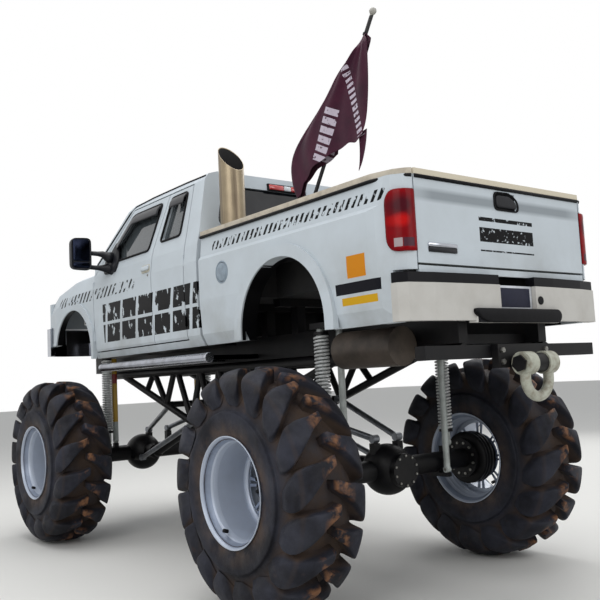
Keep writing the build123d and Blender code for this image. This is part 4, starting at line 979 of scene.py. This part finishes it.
headCorners = [(mirror["inner"], mirror["bottom"]), (mirror["outer"], mirror["bottom"] + mirror["rise"]),
               (mirror["outer"], mirror["top"] - mirror["fall"]), (mirror["inner"], mirror["top"])]
headOutline = rounded(headCorners, mirror["corner"], 6)
headForm = plate(headOutline, facingBack, headLayers)
paneForms = [plate(panel(mirror["paneInner"], mirror["paneOuter"], low, high, mirror["paneCorner"], 4),
                   facingBack, [(2.6395, 1.0), (2.637, 1.0), (2.636, 0.97)]) for low, high in mirror["panes"]]
armForms = []
for height, root in mirror["arms"]:
    path = [at(2.690, 0.945, root), at(2.690, 0.985, root + (height - root) * 0.35), at(2.688, 1.030, height),
            at(2.686, 1.080, height + 0.002), at(2.684, 1.180, height + 0.004)]
    armForms.append(tube(path, mirror["armRadii"], around=16, flatten=0.75))
sailForm = plate(rounded(sailOutline, 0.03, 4), onCab,
                 [(-0.004, 1.0), (0.014, 1.0), (0.024, 0.94), (0.028, 0.80)])
podRings = []
for depth, share in ((0.0, 1.1), (0.025, 1.0), (0.045, 0.8), (0.058, 0.55)):
    ring = []
    for turn in turns(mirror["podSteps"]):
        x = mirror["pod"][0] + mirror["podReach"][0] * share * math.cos(turn)
        ring.append(onCab(x, mirror["pod"][1] + mirror["podReach"][1] * share * math.sin(turn), depth))
    podRings.append(ring)
podForm = stacked(podRings)
bracketForm = joined(armForms + [sailForm, podForm])
for name, side in sides.items():
    body = f"door_front_{name}"
    addPiece(f"mirror_head_{name}", onSide(headForm, side), "texturedAbs", body,
             (f"mirror_{name}",), smoothing=1)
    addPiece(f"mirror_panes_{name}", onSide(joined(paneForms), side), "silveredGlass", body)
    addPiece(f"mirror_arms_{name}", onSide(bracketForm, side), "texturedAbs", body)

# Door handles, fuel door, drip rails, roof lamp and wipers

handle = {"cup": (1.885, 2.035, 2.450, 2.520, 0.024, 5), "lock": (1.915, 2.425), "lockRadius": 0.011,
          "flap": ((1.893, 2.470), (2.027, 2.470), (2.027, 2.508), (1.893, 2.512)), "flapCorner": 0.014}
bezelForm = plate(panel(*handle["cup"]), onCab, [(-0.004, 1.0), (0.004, 1.0), (0.006, 0.94)])
flapForm = plate(rounded(handle["flap"], handle["flapCorner"], 4), onCab,
                 [(0.004, 1.0), (0.014, 1.0), (0.018, 0.9)])
lockPath = [onCab(*handle["lock"], depth) for depth in (-0.004, 0.003)]
lockForm = tube(lockPath, handle["lockRadius"], around=16)
for name, side in sides.items():
    body = f"door_front_{name}"
    addPiece(f"handle_cup_{name}", onSide(bezelForm, side), "beigeHandleEnamel", body)
    addPiece(f"handle_flap_{name}", onSide(flapForm, side), "sprayedEnamel", body)
    addPiece(f"door_lock_{name}", onSide(lockForm, side), "zincBolt", body)

fuelPlace = at(0.720, 0.961, 2.289)
fuelProfile = [(0.0, 0.007), (0.062, 0.007), (0.068, 0.005), (0.070, 0.001), (0.073, 0.001),
               (0.075, 0.005), (0.084, 0.004), (0.086, -0.004)]  # radius, proud
fuelForm = moved(turned(fuelProfile, 40), Matrix.Translation(fuelPlace))
addPiece("fuel_door", fuelForm, "greyPrimer", "chassis")

gutterPath = [(1.180, 3.150), (1.50, 3.160), (2.10, 3.160), (2.42, 3.140), (2.50, 3.088), (2.80, 2.860),
              (3.06, 2.662)]
gutterForm = tube([onCab(x, z, 0.002) for x, z in gutterPath], 0.008, around=8)
for name, side in sides.items():
    addPiece(f"drip_rail_{name}", onSide(gutterForm, side), "epdmSeal", "chassis")

roofLamp = {"x": 1.150, "low": 3.088, "high": 3.132, "middle": 3.11, "slope": 0.141, "corner": 0.008}
roofLenses = {"left": (0.040, 0.191, "redAcrylicPlain"), "middle": (-0.034, 0.034, "clearAcrylic"),
              "right": (-0.191, -0.040, "redAcrylicPlain")}


def onRoof(y, z, depth):
    return at(roofLamp["x"] + (z - roofLamp["middle"]) * roofLamp["slope"] - depth, y, z)


def roofLampShape(first, last, edge, proud):
    outline = panel(first, last, roofLamp["low"] - edge, roofLamp["high"] + edge, roofLamp["corner"], 3)
    return plate(outline, onRoof, [(-0.004, 1.0), (0.8 * proud, 1.0), (proud, 0.93)])


for name, (first, last, finish) in roofLenses.items():
    addPiece(f"roof_lamp_{name}", roofLampShape(first, last, 0.0, 0.022), finish, "chassis")
addPiece("roof_lamp_base", roofLampShape(-0.204, 0.204, 0.010, 0.012), "epdmSeal", "chassis")

wiper = {"sides": (0.42, -0.30), "arm": ((3.110, 0.0, 2.668), (3.060, -0.10, 2.716), (2.975, -0.26, 2.786)),
         "blade": ((3.078, 0.02, 2.706), (2.975, -0.26, 2.790), (2.872, -0.54, 2.872))}
wiperForms = []
for side in wiper["sides"]:
    for part, radius in (("arm", 0.008), ("blade", 0.007)):
        wiperForms.append(tube([at(x, side + y, z) for x, y, z in wiper[part]], radius, around=8))
addPiece("wipers", joined(wiperForms), "epdmSeal", "chassis")
print("cab trim is on")

# Bed trim: black strips of painted shade under the caps, tailgate handle, sill, plain bar and soot in the
# stack

bed = {"back": -1.130, "strip": 0.012, "stripHeight": 2.605, "stackX": 0.916, "stackY": 0.712,
       "sleeve": 0.0955, "sleeveFoot": 2.40, "sleeveSteps": 48, "mouth": 3.228, "mouthSlope": 1.17}
# painted shade: black tubes fill the gaps under the rail caps and the tailgate's cap
stripPlan = [(1.052, 0.937), (-0.900, 0.932), (-1.050, 0.892), (-1.110, 0.847), (-1.128, 0.820)]
stripForm = tube([at(x, y, bed["stripHeight"]) for x, y in stripPlan], bed["strip"], around=8)
addPiece("bed_cap_shade_strips", bothSides(stripForm), "epdmSeal", "chassis")
gateStrip = tube([at(-1.133, y, bed["stripHeight"]) for y in (0.800, 0.0, -0.800)], bed["strip"], around=8)
addPiece("tailgate_cap_shade_strip", gateStrip, "epdmSeal", "tailgate")


def onGate(y, z, depth):
    return at(bed["back"] - depth, y, z)


gate = {"bar": (0.476, 0.718, 2.165, 2.196, 0.006, 3), "edge": (0.474, 0.720, 2.197, 2.218, 0.006, 3)}
gateCup = rounded([(-0.142, 2.463), (0.102, 2.463), (0.102, 2.583), (-0.060, 2.586), (-0.142, 2.536)],
                  0.040, 6)
gateFlap = rounded([(-0.120, 2.484), (0.080, 2.484), (0.080, 2.562), (-0.052, 2.564), (-0.120, 2.524)],
                   0.026, 5)
cupForm = plate(gateCup, onGate, [(-0.002, 1.0), (0.007, 1.0), (0.010, 0.95), (0.003, 0.88), (-0.010, 0.84)])
flapForm = plate(gateFlap, onGate, [(-0.009, 1.0), (0.004, 1.0), (0.007, 0.93), (0.008, 0.70)])
addPiece("tailgate_cup", cupForm, "epdmSeal", "tailgate")
addPiece("tailgate_flap", flapForm, "texturedAbs", "tailgate")
barForm = plate(panel(*gate["bar"]), onGate, [(-0.001, 1.0), (0.006, 1.0), (0.008, 0.97)])
edgeForm = plate(panel(*gate["edge"]), onGate, [(-0.001, 1.0), (0.007, 1.0), (0.009, 0.97)])
sillForm = slab(at(-1.128, -0.804, 2.046), at(-1.106, 0.804, 2.085))
addPiece("gate_sill", sillForm, "sprayedEnamel", "chassis", flat=True)
addPiece("blank_badge_bar", barForm, "texturedAbs", "tailgate")
addPiece("blank_badge_edge", edgeForm, "chromedTube", "tailgate")

sleeveRows = []
for height in (0.0, 0.5, 0.9, 1.0):
    row = []
    for turn in turns(bed["sleeveSteps"]):
        lean = bed["sleeve"] * math.cos(turn)
        top = bed["mouth"] + bed["mouthSlope"] * lean
        row.append(at(bed["stackX"] + lean, bed["stackY"] + bed["sleeve"] * math.sin(turn),
                      bed["sleeveFoot"] + (top - bed["sleeveFoot"]) * height))
    sleeveRows.append(row)
addPiece("stack_soot", grid(sleeveRows, closedLines=True), "dieselSoot", "chassis")

# Tail lamps: lenses wrapped round the bed's corners

lamp = {"low": 2.165, "high": 2.525, "corner": 0.085, "cutBack": 0.34, "points": 16, "sink": 0.024,
        "middle": (-1.050, 0.850)}
lampPlan = [(-1.136, 0.812), (-1.1355, 0.846), (-1.126, 0.877), (-1.106, 0.901), (-1.076, 0.919),
            (-1.045, 0.930), (-1.012, 0.938)]


def lampShape():
    rows, tall = [], lamp["high"] - lamp["low"]
    heights = [0.0, 0.0, 0.003, 0.010, 0.022, 0.040, 0.060, 0.085, 0.130]
    heights += [tall - height for height in reversed(heights)]
    sinks = [lamp["sink"], 0.006, 0.002] + [0.0] * (len(heights) - 6) + [0.002, 0.006, lamp["sink"]]
    for height, sink in zip(heights, sinks):
        corner = max(0.0, 1 - min(height, tall - height) / lamp["corner"])
        reach = 1 - lamp["cutBack"] * (1 - math.sqrt(1 - corner ** 2))
        places = [alongLine(lampPlan, reach * index / lamp["points"]) for index in range(lamp["points"] + 1)]
        row = []
        for index, (x, y) in enumerate([places[0], *places, places[-1]]):
            deep = lamp["sink"] if index in (0, lamp["points"] + 2) else sink
            inward = Vector((lamp["middle"][0] - x, lamp["middle"][1] - y)).normalized() * deep
            row.append(at(x + inward.x, y + inward.y, lamp["low"] + height))
        rows.append(row)
    return grid(rows)


addPiece("tail_lamp_lenses", bothSides(lampShape()), "redAcrylic", "chassis", ("tail_lamps",))

# Rear bumper: blank plate, lock, rubber step and the tow block's bolts

bumper = {"plateFace": -1.1500, "low": 1.834, "high": 1.984, "half": 0.1715, "corner": 0.012,
          "fieldWide": 0.86, "fieldTall": 0.80, "fieldCorner": 0.008, "lock": (-0.218, 1.893),
          "lockFace": -1.1915, "lockDepth": 0.006, "lockRadius": 0.027, "stepFace": -1.196}


def onBumper(y, z, depth):
    return at(bumper["plateFace"] - depth, y, z)


plateOutline = panel(-bumper["half"], bumper["half"], bumper["low"], bumper["high"], bumper["corner"], 4)
fieldSides = [side * bumper["half"] * bumper["fieldWide"] for side in (-1, 1)]
fieldMiddle = (bumper["low"] + bumper["high"]) / 2
fieldHeights = [fieldMiddle + (height - fieldMiddle) * bumper["fieldTall"]
                for height in (bumper["low"], bumper["high"])]
fieldOutline = panel(*fieldSides, *fieldHeights, bumper["fieldCorner"], 3)
sheetForm = plate(plateOutline, onBumper, [(0.0, 1.0), (0.010, 1.0), (0.012, 0.99)])
fieldForm = plate(fieldOutline, onBumper, [(0.011, 1.0), (0.0135, 1.0), (0.014, 0.98)])
addPiece("blank_plate", sheetForm, "blankPlateSheet", "chassis")
addPiece("blank_plate_field", fieldForm, "blankPlateField", "chassis")
lockPath = [at(bumper["lockFace"] - depth, *bumper["lock"]) for depth in (0.0, bumper["lockDepth"])]
lockForm = tube(lockPath, bumper["lockRadius"], around=24)
addPiece("bumper_lock", lockForm, "epdmSeal", "chassis", bevel=0.002)


def onStep(y, z, depth):
    return at(bumper["stepFace"] - depth, y, z)


treadOutline = rounded([(-0.390, 1.752), (0.300, 1.752), (0.375, 1.768), (0.430, 1.810), (0.425, 1.836),
                        (0.350, 1.836), (-0.385, 1.836), (-0.415, 1.800)], 0.03, 4)
treadForm = plate(treadOutline, onStep, [(-0.01, 1.0), (0.012, 1.0), (0.020, 0.985), (0.023, 0.95)])
addPiece("rubber_step", treadForm, "epdmSeal", "chassis")
towBolts = [at(-1.2005, side * 0.212, height) for side in sides.values() for height in (1.515, 1.585)]
towForm = bolts(towBolts, (-1, 0, 0), 0.017, 0.014)
addPiece("tow_block_bolts", towForm, "zincBolt", "chassis", flat=True)

# Axle bolts, shock bolts and the shackle's nut


def boltRing(middle, count, ring, alongX):
    places = []
    for turn in turns(count, 0.5):
        spread = (0, math.cos(turn), math.sin(turn)) if alongX else (math.cos(turn), 0, math.sin(turn))
        places.append(Vector(middle) + ring * Vector(spread))
    return places


axle = {"coverFace": 0.1915, "frontCover": 0.190, "cover": (10, 0.105, True), "flangeFace": 0.8095,
        "flange": (12, 0.122, False), "shockBehind": 0.124, "shock": (0.474, 0.530),
        "shockHeight": 0.735}  # cover and flange: count, ring, turned to face along the truck
rearCover = boltRing((rearHub.x - axle["coverFace"], 0, rearHub.z), *axle["cover"])
frontCover = boltRing((frontHub.x + axle["coverFace"], axle["frontCover"], frontHub.z), *axle["cover"])
flangeForms, shockForms = [], []
for side in sides.values():
    flange = boltRing((rearHub.x, side * axle["flangeFace"], rearHub.z), *axle["flange"])
    flangeForms.append(bolts(flange, (0, -side, 0), 0.011, 0.010))
    shockPin = [(rearHub.x - axle["shockBehind"], side * y, axle["shockHeight"]) for y in axle["shock"]]
    shockForms.append(tube(shockPin, 0.012, around=6))
coverForms = [bolts(rearCover, (-1, 0, 0), 0.009, 0.009), bolts(frontCover, (1, 0, 0), 0.009, 0.009)]
addPiece("axle_bolts", joined(coverForms + flangeForms + shockForms), "zincBolt", "chassis",
         flat=True)
pin = joints["shackle_swing"]
nutForm = tube([pin + Vector((0, 0.1565, 0)), pin + Vector((0, 0.170, 0))], 0.052, around=6)
pinHeadForm = tube([pin - Vector((0, 0.1565, 0)), pin - Vector((0, 0.168, 0))], 0.046, around=24)
addPiece("shackle_nut", nutForm, "chassisEnamel", "shackle", flat=True)
addPiece("shackle_pin_head", pinHeadForm, "wornTowEnamel", "shackle", bevel=0.003)

# Front: mesh behind the grille bars, lamp bezels, cowl strip; step tubes' end caps

grilleMesh = {"bars": 33, "side": 0.515, "first": -0.512, "pitch": 0.032, "half": 0.002, "low": 2.205,
              "high": 2.435, "back": 4.384, "face": 4.386, "front": 4.391}
meshBars = [slab(at(grilleMesh["back"], -grilleMesh["side"], grilleMesh["low"]),
                 at(grilleMesh["face"], grilleMesh["side"], grilleMesh["high"]))]
for index in range(grilleMesh["bars"]):
    y = grilleMesh["first"] + grilleMesh["pitch"] * index
    meshBars.append(slab(at(grilleMesh["face"], y - grilleMesh["half"], grilleMesh["low"]),
                         at(grilleMesh["front"], y + grilleMesh["half"], grilleMesh["high"])))
addPiece("grille_mesh", joined(meshBars), "epdmSeal", "chassis", flat=True)

fascia = {"face": 4.4405, "sweep": 0.078, "sweepFrom": 0.580, "lamp": (0.562, 0.868, 2.203, 2.397, 0.016, 4)}


def onFascia(y, z):  # the nose sweeps back towards its corners
    return at(fascia["face"] - fascia["sweep"] * max(0.0, y - fascia["sweepFrom"]), y, z)


lampBezel = tube([onFascia(y, z) for y, z in panel(*fascia["lamp"])], 0.005, around=8, closed=True)
addPiece("headlamp_bezels", bothSides(lampBezel), "epdmSeal", "chassis")
cowlForm = tube([at(3.097, y, 2.668) for y in (-0.780, 0.0, 0.780)], 0.009, around=10)
addPiece("cowl_strip", cowlForm, "epdmSeal", "chassis")

stepCaps = {"ends": ((0.877, 0.902), (2.801, 2.826)), "height": 1.665, "radius": 0.0388}
capForms = []
for side in sides.values():
    for ends in stepCaps["ends"]:
        path = [at(x, side, stepCaps["height"]) for x in ends]
        capForms.append(tube(path, stepCaps["radius"], around=32))
addPiece("step_end_caps", joined(capForms), "chromedTube", "chassis", bevel=0.003)
print("trim is on")

# Floor, overcast light and the photograph's camera


def paleFloor(tree, place):
    # Matt painted studio floor: pale and even
    return {"Base Color": "#DCDBD7", "Roughness": 0.9}


floorMesh = bpy.data.meshes.new("floor")
floorMesh.from_pydata([(-60, -60, 0), (60, -60, 0), (60, 60, 0), (-60, 60, 0)], [], [[0, 1, 2, 3]])
floorMesh.materials.append(makeMaterial("paleFloor", paleFloor))
floor = bpy.data.objects.new("floor", floorMesh)
bpy.context.scene.collection.objects.link(floor)

world = bpy.context.scene.world or bpy.data.worlds.new("sky")
bpy.context.scene.world = world
world.use_nodes = True
sky = world.node_tree
sky.nodes.clear()
rays = addNode(sky, "LightPath", {}, "Is Camera Ray")
glossy = rays.node.outputs["Is Glossy Ray"]
through = rays.node.outputs["Is Transmission Ray"]
seen = addNode(sky, "Math", {"operation": "MAXIMUM", 0: rays, 1: glossy})
seen = addNode(sky, "Math", {"operation": "MAXIMUM", 0: seen, 1: through})
soft = addNode(sky, "Background", {"Color": "#F1F4F8", "Strength": 0.55})
white = addNode(sky, "Background", {"Color": "#FFFFFF", "Strength": 1.0})
addNode(sky, "OutputWorld", {"Surface": addNode(sky, "MixShader", {0: seen, 1: soft, 2: white})})

lamps = {  # place, aim, size in metres, watts
    "overhead": ((0.5, 0.0, 9.5), (0.0, 0.0, 1.5), 9.0, 620),
    "photographSide": ((-5.0, 9.0, 6.5), (0.0, 0.5, 1.6), 6.0, 330),
    "behindTruck": ((-9.5, -1.5, 5.0), (-1.0, 0.0, 1.6), 5.0, 170),
    "farSide": ((3.0, -10.0, 6.0), (0.0, 0.0, 1.6), 6.0, 220),
}
for name, (place, aim, size, watts) in lamps.items():
    light = bpy.data.lights.new(name, "AREA")
    light.size = size
    light.energy = watts
    source = bpy.data.objects.new(name, light)
    source.location = place
    source.rotation_euler = (Vector(aim) - Vector(place)).to_track_quat("-Z", "Y").to_euler()
    bpy.context.scene.collection.objects.link(source)

view = {"place": (-5.868, 4.096, 1.475), "heading": -37.66, "rise": 5.61, "roll": -2.87, "lens": 47.89,
        "sensor": 36.0}
heading, rise = math.radians(view["heading"]), math.radians(view["rise"])
sight = Vector((math.cos(heading) * math.cos(rise), math.sin(heading) * math.cos(rise), math.sin(rise)))
lens = bpy.data.cameras.new("camera")
lens.lens, lens.sensor_width = view["lens"], view["sensor"]
camera = bpy.data.objects.new("camera", lens)
camera.location = view["place"]
camera.rotation_mode = "QUATERNION"
roll = Quaternion((0, 0, 1), math.radians(view["roll"]))
camera.rotation_quaternion = sight.to_track_quat("-Z", "Y") @ roll
bpy.context.scene.collection.objects.link(camera)
bpy.context.scene.camera = camera
bpy.context.scene.view_settings.view_transform = "Standard"
print("camera and light are set")
